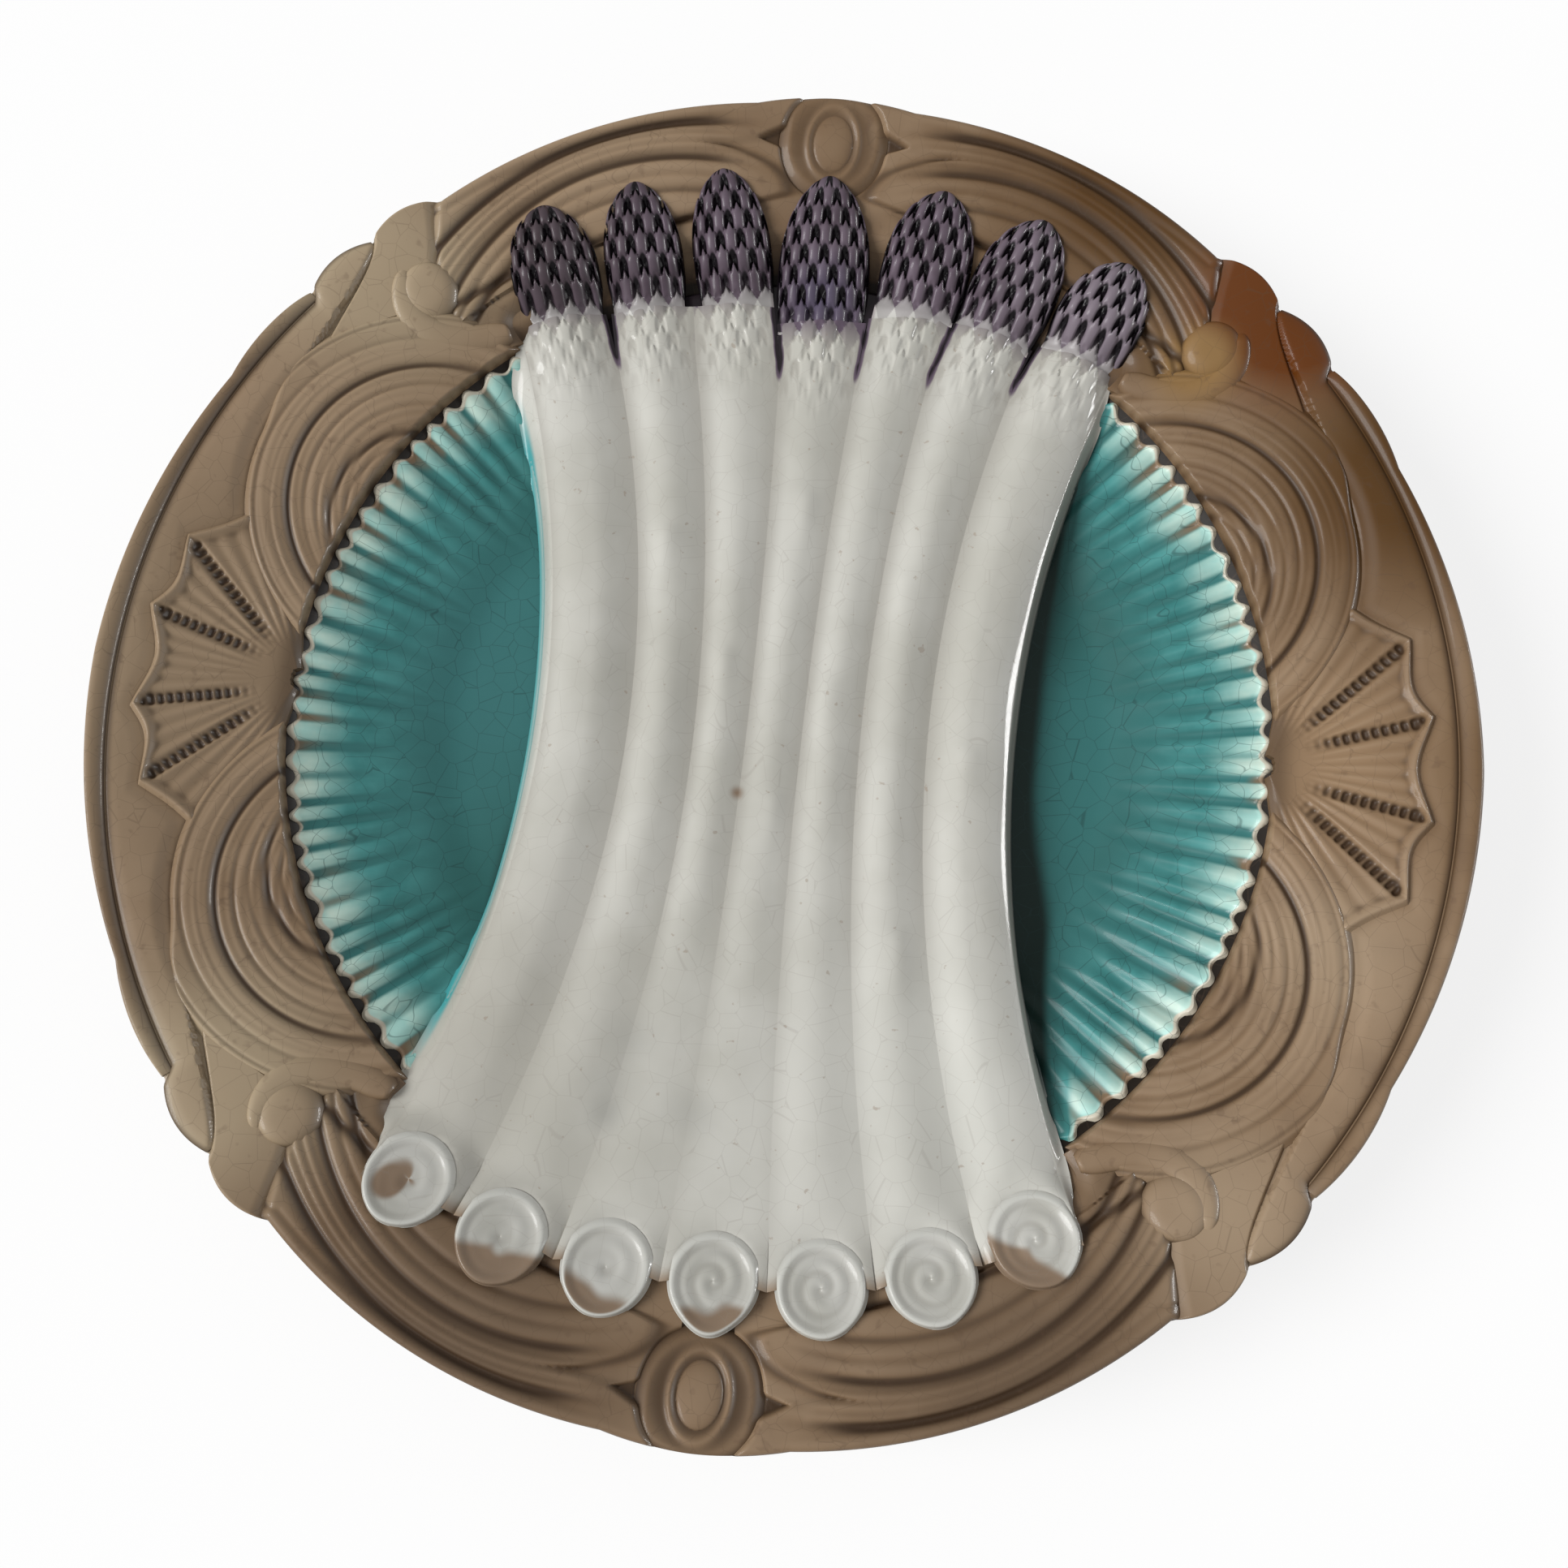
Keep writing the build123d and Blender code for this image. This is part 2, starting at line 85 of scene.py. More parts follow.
def add_piece(name, shells, material, wrap=False):
    """Mesh of closed shells that stands for the CAD node of its name. A shell is rings of points in
    millimetres and two glaze values for each point. The first is how far the glaze has pooled there, and it
    also holds painted shade where high and, on the rim, painted highlight where low. The second is the share
    of a second glaze, which in the wells goes below 0 for a painted shadow. A quad joins each two neighbours
    on each two rings. The rings join in a loop where wrap is set, and a cap closes the first and the last
    otherwise."""
    points, faces, pools_and_shades, washes_and_shadows, start = [], [], [], [], 0
    for rings, pooled_and_shaded, washed_and_shadowed in shells:
        index = np.arange(rings.shape[0] * rings.shape[1]).reshape(rings.shape[:2])
        here = index if wrap else index[:-1]
        ahead = np.roll(index, -1, 0) if wrap else index[1:]
        quads = np.stack([here, ahead, np.roll(ahead, -1, 1), np.roll(here, -1, 1)], -1).reshape(-1, 4)
        corner = (rings - rings.mean((0, 1))).reshape(-1, 3)[quads]
        volume = np.sum(np.cross(corner[:, 2] - corner[:, 0], corner[:, 3] - corner[:, 1]) * corner.mean(1))
        turn = 1 if volume > 0 else -1
        faces += (quads[:, ::turn] + start).tolist()
        if not wrap:
            faces += [(index[0, ::turn] + start).tolist(), (index[-1, ::-turn] + start).tolist()]
        points.append(rings.reshape(-1, 3))
        pools_and_shades.append(np.broadcast_to(pooled_and_shaded, index.shape).ravel())
        washes_and_shadows.append(np.broadcast_to(washed_and_shadowed, index.shape).ravel())
        start += index.size
    mesh = bpy.data.meshes.new(name)
    mesh.from_pydata(np.concatenate(points) * 0.001, [], faces)
    for key, values in (("pool_and_shade", pools_and_shades), ("wash_and_shadow", washes_and_shadows)):
        share = np.concatenate(values).astype(np.float32)
        mesh.attributes.new(key, "FLOAT", "POINT").data.foreach_set("value", share)
    mesh.shade_smooth()
    mesh.set_sharp_from_angle(angle=radians(50))
    mesh.materials.append(material)
    piece = bpy.data.objects.new(name + "_glazed", mesh)
    bpy.context.scene.collection.objects.link(piece)
    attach(piece, "root")
    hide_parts(name)


class Socket:
    """Output of a shader node. Sums, differences and products of sockets add Math nodes."""

    def __init__(self, tree, output):
        self.tree = tree
        self.output = output

    def node(self, kind, settings, inputs, output=0):
        """Adds a node of a kind with its settings, then a value or a link on each of its inputs."""
        made = self.tree.nodes.new(kind)
        for key, value in settings.items():
            setattr(made, key, value)
        for key, value in inputs.items():
            socket = made.inputs[key]
            if isinstance(value, Socket):
                self.tree.links.new(value.output, socket)
            else:
                socket.default_value = (*value, 1.0) if socket.type == "RGBA" else value
        return Socket(self.tree, made.outputs[output]) if made.outputs else None

    def math(self, operation, first, second):
        return self.node("ShaderNodeMath", {"operation": operation}, {0: first, 1: second})

    def __add__(self, other):
        return self.math("ADD", self, other)

    def __sub__(self, other):
        return self.math("SUBTRACT", self, other)

    def __rsub__(self, other):
        return self.math("SUBTRACT", other, self)

    def __mul__(self, other):
        return self.math("MULTIPLY", self, other)

    __radd__ = __add__
    __rmul__ = __mul__

    def between(self, low, high):
        """0 at low and 1 at high, eased at both ends."""
        settings = {"interpolation_type": "SMOOTHSTEP"}
        return self.node("ShaderNodeMapRange", settings, {0: self, 1: low, 2: high})

    def mix(self, first, second):
        """Colour from first to second by this share."""
        return self.node("ShaderNodeMix", {"data_type": "RGBA"}, {0: self, 6: first, 7: second}, 2)

    def noise(self, scale, detail=3.0):
        """Cloudy value about 0.5 at this place, with the given count of clouds in a metre."""
        return self.node("ShaderNodeTexNoise", {}, {"Vector": self, "Scale": scale, "Detail": detail})

    def near(self, x, y, radius):
        """1 at a plan point given in millimetres and 0 at a radius from it."""
        flat = self.node("ShaderNodeVectorMath", {"operation": "MULTIPLY"}, {0: self, 1: (1.0, 1.0, 0.0)})
        spot = {0: flat, 1: (x / 1000, y / 1000, 0.0)}
        gap = self.node("ShaderNodeVectorMath", {"operation": "DISTANCE"}, spot, 1)
        return 1 - gap.between(0.0, radius / 1000)


def new_glaze(name):
    """Empty material, the place in the plate's frame and the two values that a piece carries."""
    material = bpy.data.materials.new(name)
    material.use_nodes = True
    material.node_tree.nodes.clear()
    tree = material.node_tree
    place = Socket(tree, tree.nodes.new("ShaderNodeTexCoord").outputs["Object"])
    pool_and_shade = place.node("ShaderNodeAttribute", {"attribute_name": "pool_and_shade"}, {}, 2)
    wash_and_shadow = place.node("ShaderNodeAttribute", {"attribute_name": "wash_and_shadow"}, {}, 2)
    return material, place, pool_and_shade, wash_and_shadow


def tinted(place, base, colour, spots):
    """Base colour with another laid over it about plan points, each with its radius and its weight."""
    share = sum(weight * place.near(x, y, radius) for x, y, radius, weight in spots)
    return share.mix(base, colour)


def crackle(place):
    """Fine cracks of an old glaze: 1 within a hair of the borders of cells some 4 mm wide."""
    cells = {"Vector": place, "Scale": 260.0}
    return 1 - place.node("ShaderNodeTexVoronoi", {"feature": "DISTANCE_TO_EDGE"}, cells).between(0.004, 0.02)


def fire(place, colour, roughness, coat, ripple=0.02):
    """Ends a glaze: one shader under a clear coat, with a faint ripple of its surface."""
    wave = place.noise(160.0, 2.0)
    normal = place.node("ShaderNodeBump", {}, {"Strength": 0.35, "Distance": ripple / 1000, "Height": wave})
    shader = place.node("ShaderNodeBsdfPrincipled", {}, {
        "Base Color": colour, "Roughness": roughness, "Normal": normal,
        "Coat Weight": coat, "Coat Roughness": 0.08, "IOR": 1.45, "Specular IOR Level": 0.25})
    place.node("ShaderNodeOutputMaterial", {}, {"Surface": shader})


rim_glaze, place, pool_and_shade, wash_and_shadow = new_glaze("rim_glaze")
clouds = place.noise(28.0, 4.0)
grain = place.noise(420.0, 2.0)
brown = clouds.between(0.3, 0.7).mix((0.165, 0.100, 0.052), (0.225, 0.147, 0.085))
dapple = place.noise(110.0, 3.0)
brown = ((1 - dapple).between(0.5, 0.72) * 0.35).mix(brown, (0.115, 0.070, 0.042))
brown = (dapple.between(0.52, 0.74) * 0.3).mix(brown, (0.31, 0.22, 0.14))
# Lighter over the left half of the rim and its left corners: partly the glaze's own colour, partly painted
# light from the left.
brown = tinted(place, brown, (0.285, 0.205, 0.128), [(-120, 0, 75, 1.0)])
brown = tinted(place, brown, (0.37, 0.29, 0.19), [(-84, 78, 36, 1.2), (-87, -72, 34, 1.2)])
brown = tinted(place, brown, (0.32, 0.225, 0.14), [(-46, 106, 40, 0.9), (-86, 48, 24, 0.8)])
brown = tinted(place, brown, (0.33, 0.245, 0.16), [(81, -78, 24, 0.9), (98, -32, 20, 0.7)])
brown = tinted(place, brown, (0.28, 0.180, 0.100), [(98, 0, 30, 0.9)])
# Lighter where the pooled value is low, on raised parts: thinner glaze and painted highlight.
thin_glaze_and_highlight = (1 - pool_and_shade).between(0.55, 1.05) * (0.1 + 0.5 * clouds)
brown = thin_glaze_and_highlight.mix(brown, (0.36, 0.26, 0.17))
brown = tinted(place, brown, (0.130, 0.085, 0.051), [(-38, -106, 50, 0.8), (52, -104, 44, 0.8)])
brown = tinted(place, brown, (0.084, 0.037, 0.007), [(56, 106, 46, 1.1), (106, 52, 46, 1.1)])
brown = tinted(place, brown, (0.105, 0.054, 0.018), [(130, 0, 32, 0.9)])
brown = tinted(place, brown, (0.110, 0.029, 0.001), [(86, 84, 26, 1.8)])
brown = tinted(place, brown, (0.235, 0.136, 0.050), [(70, 73, 11, 1.5)])
# Darker as the pooled value rises, in grooves, pits and at the foot of the mouldings: pooled glaze and
# painted shade.
dark_pool_and_shade = pool_and_shade.between(0.3, 1.0) * (0.8 + 0.3 * clouds)
brown = dark_pool_and_shade.mix(brown, (0.042, 0.022, 0.010))
# Near black past 1.1: painted shadow, chiefly in the channel round the wells.
brown = pool_and_shade.between(1.1, 1.6).mix(brown, (0.010, 0.006, 0.003))
brown = (crackle(place) * 0.24).mix(brown, (0.08, 0.05, 0.03))
brown = (grain.between(0.62, 0.75) * 0.25).mix(brown, (0.09, 0.05, 0.03))
fire(place, brown, 0.42 + 0.15 * clouds, 0.1 * (1 - pool_and_shade.between(0.6, 1.1)))

turn_steps = 1080
angle = np.linspace(0, 360, turn_steps, endpoint=False)[:, None]
edge = well_radius + rim_width * edge_across(angle)
face = rim_height(edge, 0)
upright = np.maximum(np.abs(np.cos(np.radians(angle))), 0.05)
pocket_y = np.minimum(pocket_waist / upright * np.sin(np.radians(angle)), pocket_reach)
pocket = np.minimum((pocket_waist + pocket_flare * pocket_y**2) / upright, pocket_reach)
# Third value of each point: its shade. Between 87 and 90 mm it passes 1.1 for a painted shadow in the
# channel, and on the edge it drops low for a painted highlight.
section = [
    (pocket, 3, 0.5), (60, 3, 0.4), (66, 3, 0.4), (68, 3.6, 0.4), (76, 7.3, 0.3), (86, 12, 0.3),
    (90, 13.6, 0.3), (0.5 * edge + 45, 0.5 * face + 4.4, 0.3), (edge - 5, face - 6.2, 0.3),
    (edge - 2.4, face - 5.2, 0.25), (edge - 0.9, face - 4.2, 0.2), (edge - 0.2, face - 2.8, 0.1),
    (edge - 0.05, face - 1.6, 0.1), (edge - 0.4, face - 0.6, 0.2), (edge - 1.2, face - 0.35, 0.4),
    (edge - 4, face - 1.1, 0.5), (93, 18.9, 0.5), (89.6, 18.1, 0.9), (88.6, 17.3, 1.5),
    (87.0, 16.9, 1.6), (86, 15, 1.0), (60, 6, 1.0), (pocket, 6, 0.6),
]
radius = np.concatenate([out + 0 * angle for out, height, shade in section], 1)
z = np.concatenate([height + 0 * angle for out, height, shade in section], 1)
rings = np.stack([radius * np.cos(np.radians(angle)), radius * np.sin(np.radians(angle)), z], -1)
shades = [shade for out, height, shade in section]
add_piece("dish", [(rings, shades, 0.0)], rim_glaze, wrap=True)


# Foot ring: the turned ring of bare clay that the plate stands on, wiped clean of glaze.
# It is part of the body and shows the buff clay, a little dirty from use, with painted shade up its walls.

foot_clay, place, pool_and_shade, wash_and_shadow = new_glaze("foot_clay")
clay = place.noise(60.0, 5.0).between(0.3, 0.7).mix((0.50, 0.38, 0.26), (0.62, 0.52, 0.40))
clay = (place.noise(900.0, 2.0).between(0.6, 0.75) * 0.5).mix(clay, (0.25, 0.18, 0.12))
# Painted shade: darker up the walls towards the body.
clay = (pool_and_shade * 0.5).mix(clay, (0.22, 0.15, 0.10))
fire(place, clay, 0.85, 0.0, 0.05)

foot_outer, foot_inner, foot_top = 66.0, 61.0, 3.0
around = np.linspace(0, 2 * np.pi, 360, endpoint=False)[:, None]
radius, z, shade = np.array([
    (foot_inner, foot_top, 1.0), (foot_inner, 0.9, 0.4), (foot_inner + 0.3, 0.25, 0.1),
    (foot_inner + 1.0, 0, 0.0), (foot_outer - 1.0, 0, 0.0), (foot_outer - 0.3, 0.25, 0.1),
    (foot_outer, 0.9, 0.4), (foot_outer, foot_top, 1.0)]).T
rings = np.stack([radius * np.cos(around), radius * np.sin(around), z + 0 * around], -1)
add_piece("foot_ring", [(rings, shade, 0.0)], foot_clay, wrap=True)


# Cradle: the raised bed that carries the spears, hollowed lengthwise and pressed hollow behind.
# It is one with the dish, and its white glaze shows only in the hollow of the back.

groove_heads = [-56.25, -38.28, -22.70, -6.30, 8.84, 22.70, 39.09, 56.25]
groove_waists = [-42.0, -26.5, -14.5, -5.0, 5.0, 15.5, 27.5, 42.0]
head_y = 72.0
bed_middle_height, bed_hollow_radius = 14.0, 970.0
floor_radius, floor_height, floor_ease, wall_climb = 60.0, 8.0, 0.006, 10.0
glaze_sink = 0.05
cut_end_step = 10.5
cut_end_across = np.array([0.34, 0.32, 0.26, 0.22, 0.25, 0.29, 0.30])
cut_end_radius = 7.6
spear_count = 7
cut_end_x, cut_end_y = rim_place(-90 + cut_end_step * (np.arange(spear_count) - 3), cut_end_across)
foot_x = np.concatenate([
    cut_end_x[:1] - cut_end_radius, (cut_end_x[1:] + cut_end_x[:-1]) / 2, cut_end_x[-1:] + cut_end_radius])
foot_y = np.concatenate([cut_end_y[:1], (cut_end_y[1:] + cut_end_y[:-1]) / 2, cut_end_y[-1:]])


def bed_height(y):
    """Height of the bed: the lowest part of a circle of large radius along Y."""
    return bed_middle_height + bed_hollow_radius - np.sqrt(bed_hollow_radius**2 - y**2)


def ground_height(x, y):
    """Height of the glazed ground: a flat floor, then a straight climb to the rim. Half the sum of the
    climb and the root of its square plus a little eases the one into the other."""
    climb = (np.hypot(x, y) - floor_radius) / (well_radius - floor_radius)
    return floor_height + wall_climb * 0.5 * (climb + np.sqrt(climb**2 + floor_ease)) - glaze_sink


def groove_x(index, y):
    """Plan line of the groove beside a stalk: the parabola through its foot, waist and head."""
    foot, waist = (foot_y[index], foot_x[index]), (0, groove_waists[index])
    return parabola(y, foot, waist, (head_y, groove_heads[index]))


def side_radius(turn, index):
    """Distance from the middle to the outer groove of the given index along a direction: the parabola
    x = w + by + cy^2 met by the ray, from the quadratic in the distance. Two points of the groove, one each
    side of the waist, give b and c."""
    probe = 40.0
    side = np.sign(groove_waists[index])
    w = abs(groove_waists[index])
    ahead, behind = side * groove_x(index, probe) - w, side * groove_x(index, -probe) - w
    b, c = (ahead - behind) / (2 * probe), (ahead + behind) / (2 * probe**2)
    slant = np.abs(np.cos(turn)) - b * np.sin(turn)
    inside = np.where(slant > 0, slant**2 - 4 * c * np.sin(turn) ** 2 * w, -1)
    return np.where(inside > 0, 2 * w / (np.abs(slant) + np.sqrt(np.maximum(inside, 0.0))), 2 * well_radius)


stalk_glaze, place, pool_and_shade, wash_and_shadow = new_glaze("stalk_glaze")
mottle = place.noise(45.0, 4.0)
white = mottle.between(0.3, 0.7).mix((0.455, 0.446, 0.398), (0.545, 0.537, 0.492))
# Grey in the grooves between the stalks: pooled glaze and painted shade.
white = (pool_and_shade.between(0.25, 0.9) * (0.3 + 0.5 * mottle)).mix(white, (0.275, 0.255, 0.222))
white = tinted(place, white, (0.34, 0.32, 0.27), [(-62, -60, 60, 0.6)])
# Painted highlight: a lighter patch over the lower right stalks, where they mirror the light.
white = tinted(place, white, (0.62, 0.62, 0.575), [(42, -62, 40, 0.6)])
stains = place.near(-18.6, -58, 7) + place.near(-20.6, -66, 7)
stains = stains + 1.4 * place.near(-21.4, -71, 5) + place.near(-7, -69, 7)
white = (stains * (0.04 + 0.3 * mottle)).mix(white, (0.16, 0.165, 0.155))
white = (crackle(place) * 0.2).mix(white, (0.26, 0.23, 0.20))
white = (place.noise(700.0, 2.0).between(0.70, 0.76) * 0.4).mix(white, (0.25, 0.17, 0.11))
white = tinted(place, white, (0.20, 0.13, 0.08), [(-5.5, -13, 1.8, 0.9)])
white = pool_and_shade.between(1.1, 1.8).mix(white, (0.105, 0.074, 0.106))
white = pool_and_shade.between(1.8, 2.5).mix(white, (0.008, 0.004, 0.007))
# The crept turquoise turns deep green where the pooled value is high: painted shade on the right wall.
teal = pool_and_shade.between(0.3, 0.9).mix((0.045, 0.300, 0.310), (0.008, 0.030, 0.026))
white = wash_and_shadow.between(0.2, 0.95).mix(white, teal)
white = (0 - wash_and_shadow).between(0.0, 1.0).mix(white, (0.25, 0.18, 0.12))
dull = (1.6 * place.near(36, -48, 30)).between(0.0, 1.0)
fire(place, white, 0.5, 0.3 - 0.29 * dull)

turn = np.linspace(0, 2 * np.pi, 240, endpoint=False)
reach = np.where(np.cos(turn) > 0, side_radius(turn, 7), side_radius(turn, 0))
reach = np.minimum(reach, well_radius) - 1.0
hollow = np.minimum(reach - 5, pocket_reach)
plan = np.stack([
    0.02 * reach, 0.5 * reach, reach - 1, reach, reach,
    hollow, hollow, hollow - 1, 0.5 * hollow, 0.02 * hollow])
bed = bed_height(plan[:4] * np.sin(turn)) - np.array([[0], [0], [0], [1]])
roof = np.array([6.2, 6.2, 8.0, 9.0, 9.0, 9.0])[:, None] + 0 * turn
roof[0] = np.maximum(6.2, ground_height(reach, 0) - 1.6)
rings = np.stack([plan * np.cos(turn), plan * np.sin(turn), np.concatenate([bed, roof])], -1)
add_piece("cradle", [(rings, np.where(rings[..., 1] > 60, 2.6, 0.6), 0.0)], stalk_glaze)


# Wells: the two turquoise hollows beside the cradle, moulded with flutes that fade into the floor.
# The glaze runs off the ridges to cream at the scalloped edge. The floor at the foot of the cradle is
# painted dark as its shadow and, at the lower end, as pooled glaze.

well_half_turn = 54
flutes_in_turn = 110
flute_depth = 0.9
flute_start, flute_full = 58.0, 77.0


def smooth(value, low, high):
    """0 at low, 1 at high, and the cubic 3t^2 - 2t^3 between them."""
    t = np.clip((value - low) / (high - low), 0, 1)
    return t * t * (3 - 2 * t)


def closed(x, y, z, low, pooled_and_shaded, washed_and_shadowed=0.0):
    """Closed rings of a face over a base: the face from side to side, then back along the base at low."""
    x, y, z, low, pooled_and_shaded, washed_and_shadowed = np.broadcast_arrays(x, y, z, low, pooled_and_shaded, washed_and_shadowed)
    back = np.linspace(z.shape[1] - 1, 0, 9).astype(int)
    whole = [*range(z.shape[1]), *back]
    height = np.concatenate([z, low[:, back]], 1)
    return np.stack([x[:, whole], y[:, whole], height], -1), pooled_and_shaded[:, whole], washed_and_shadowed[:, whole]


well_glaze, place, pool_and_shade, wash_and_shadow = new_glaze("well_glaze")
drift = place.noise(30.0, 4.0)
streak = place.noise(150.0, 3.0)
teal = drift.between(0.3, 0.7).mix((0.022, 0.105, 0.098), (0.034, 0.150, 0.145))
teal = tinted(place, teal, (0.040, 0.160, 0.162), [(-52, 5, 44, 0.7)])
pale = streak.between(0.3, 0.7).mix((0.040, 0.205, 0.198), (0.075, 0.300, 0.290))
cream = streak.between(0.35, 0.65).mix((0.40, 0.66, 0.60), (0.60, 0.74, 0.64))
ridge = (1 - pool_and_shade).between(0.2, 0.85)
teal = (wash_and_shadow.between(0.12, 0.74) * (0.2 + 0.8 * ridge)).mix(teal, pale)
teal = (wash_and_shadow.between(0.58, 0.96) * ridge).mix(teal, cream)
teal = wash_and_shadow.between(0.98, 1.12).mix(teal, (0.58, 0.54, 0.44))
flecks = place.noise(70.0, 2.0).between(0.45, 0.57) * wash_and_shadow.between(0.62, 0.9) * pool_and_shade.between(0.3, 0.8)
teal = (flecks * 0.85).mix(teal, (0.21, 0.12, 0.06))
# Painted shadow: where the share falls below 0, by the foot of the cradle, the floor goes near black green.
teal = (0 - wash_and_shadow).between(0.0, 0.55).mix(teal, (0.006, 0.024, 0.020))
teal = (crackle(place) * 0.45).mix(teal, (0.012, 0.040, 0.040))
fire(place, teal, 0.38, 0.15 - 0.13 * place.near(60, -52, 34))

for name, side, outer, shadow in (("well_right", 1, 7, 0.8), ("well_left", -1, 0, 0.1)):
    turn = np.radians(np.linspace(-well_half_turn, well_half_turn, 1081))
    open_turn = turn[side_radius(turn, outer) < well_radius - 1.0]
    turn = np.linspace(open_turn[0], open_turn[-1], 640)[:, None]
    flute = np.degrees(turn) * flutes_in_turn / 360 + 0.14 * np.sin(np.degrees(turn) / 2.9)
    crest = 0.5 + 0.5 * np.cos(2 * np.pi * flute)
    uneven = 0.5 + 0.5 * np.sin(1.9 * flute + side) * np.cos(0.67 * flute)
    start = side_radius(turn, outer) - 1.0
    end = well_radius - 0.8 + 0.9 * crest
    radius = start + (end - start) * np.linspace(0, 1, 84) ** 0.9
    fade = smooth(radius, flute_start + 9 * uneven, flute_full)
    x, y = side * radius * np.cos(turn), radius * np.sin(turn)
    lip = smooth(radius, end - 1.9, end - 0.7)
    drop = smooth(radius, end - 1.0, end + 0.2)
    z = ground_height(x, y) - flute_depth * (1 - crest) * fade + 0.25 * lip - 0.9 * drop
    pooled_and_shaded = (1 - crest) ** 1.7 * fade * (1.3 - 0.8 * uneven)
    share = np.clip((radius - flute_start - 1) / 28, 0, 1) * (0.84 + 0.14 * uneven)
    share = share * smooth(radius, flute_start, flute_start + 5) + 0.3 * lip
    # Painted shadow of the cradle: the share drops within some 9 to 15 mm of its foot, far more on the right
    # and more towards the lower end.
    shade_width = 9 + 6 * smooth(turn, -0.1, -0.6) * (side > 0)
    share -= (shadow + 0.5 * smooth(turn, -0.3, -0.6)) * smooth(radius, start + shade_width, start + 3.5)
    add_piece(name, [closed(x, y, z, z - 1.6, pooled_and_shaded, share)], well_glaze)


# Stalks: the seven white spears lying side by side, each a soft crowned ridge in the white glaze.
# The two outer ones fall in a steep wall to the wells, where the turquoise has crept up the foot, and the
# right wall is painted darker as shade.

stalk_valley = 1.2
stalk_relief = [2.1, 1.6, 1.2, 1.1, 1.3, 1.8, 2.5]
tip_base = [
    (-32.7, 0.03), (-22.2, -0.10), (-10.7, -0.17), (0.5, -0.37), (12.5, -0.14), (23, -0.1), (33.5, 0.05)]
tip_point = [(-29.5, 0.65), (-20, 0.62), (-11, 0.61), (0, 0.56), (12, 0.58), (22.5, 0.61), (32, 0.62)]
tip_half_width = [8.3, 7.5, 7.5, 8.7, 8.4, 8.3, 8.2]
head_join = [0, 0.55, 1.0, 0.5, 0.85, 0.75, 0.6, 0]
head_dark = [0, 1.0, 0.1, 1.0, 0.6, 0.7, 0.8, 0]
wall_spread = {-1: 4.4, 1: 2.2}
wall_creep = {-1: (0.3, 0.8), 1: (0.45, 0.9)}
fill_height = 1.15
fill_flattening = [0.72, 0.72, 0.72, 0.72, 0.4, 0.4, 0.4]
cut_end_rise = 2.55
scale_width, scale_rise = 3.9, 3.6
bracts = [
    (-25, -4), (-15, -32), (-24, 35), (2, 44), (-11, 13), (2, -13), (8, 9), (35, -2), (20, 30), (26, -36)]
bract_relief, bract_spread, bract_length = 0.42, 2.4, 15.0


def tip_line(index):
    """Base and point of a tip in plan, and half its width square to the line between them."""
    base = np.array(rim_place(90 - tip_base[index][0], tip_base[index][1]))
    point = np.array(rim_place(90 - tip_point[index][0], tip_point[index][1]))
    along = (point - base) / np.hypot(*(point - base))
    return base, point, np.array([along[1], -along[0]]) * tip_half_width[index]


def head_corner(groove, index):
    """Corner of a stalk's head at a groove: the tip's own corner, drawn towards the neighbour's."""
    base, point, half = tip_line(index)
    own = base + 0.9 * half * (2 * (groove - index) - 1)
    other = 2 * groove - 1 - index
    if not 0 <= other < spear_count:
        return own
    base, point, half = tip_line(other)
    return own + head_join[groove] / 2 * (base + 0.9 * half * (2 * (groove - other) - 1) - own)


def stalk_edge(groove, index):
    """Points along one side of a stalk: along its groove from the foot to the head, then on to the tip."""
    y = np.linspace(foot_y[groove], head_y - 2, 150)
    line = np.stack([groove_x(groove, y), y], -1)
    onward = np.linspace(line[-1], head_corner(groove, index), 30)[1:]
    return np.concatenate([line, onward])


def stalk_crown(u):
    """Section of a stalk from side to side: 1 in the middle, 0 in the grooves, mostly a cosine."""
    return 0.3 * (1 - u**2) + 0.35 * (1 + np.cos(np.pi * u))


def scales(across, along):
    """Domed scales in staggered rows, on the lattice p = a + b/2, q = a - b/2 with u and v in a cell: the
    dome sqrt((1 - 4u^2)(1 - 4v^2)), the pit in an oval round a lattice point, less the point of the
    scale that stands up into it, and the place along the cell."""
    p, q = across + along / 2, across - along / 2
    u, v = p % 1 - 0.5, q % 1 - 0.5
    dome = np.sqrt((1 - 4 * u**2) * (1 - 4 * v**2))
    du, dv = p - np.round(p), q - np.round(q)
    aside, above = np.abs(du + dv) / 2, du - dv
    pit = smooth((aside / 0.25) ** 2 + ((above + 0.15) / 0.68) ** 2, 1.3, 0.5)
    return dome, pit * smooth(aside + 0.3 * above + 0.05, -0.02, 0.05), u - v


def bract_rise(x, y):
    """Low leaf scales on the stalks: each swells along its length and breaks off at its point, and is a
    bell curve across."""
    return sum(
        bract_relief * np.exp(-(((x - at_x) / bract_spread) ** 2))
        * smooth(y, at_y - bract_length, at_y - 1) * smooth(y, at_y + 1.5, at_y - 0.5)
        for at_x, at_y in bracts)


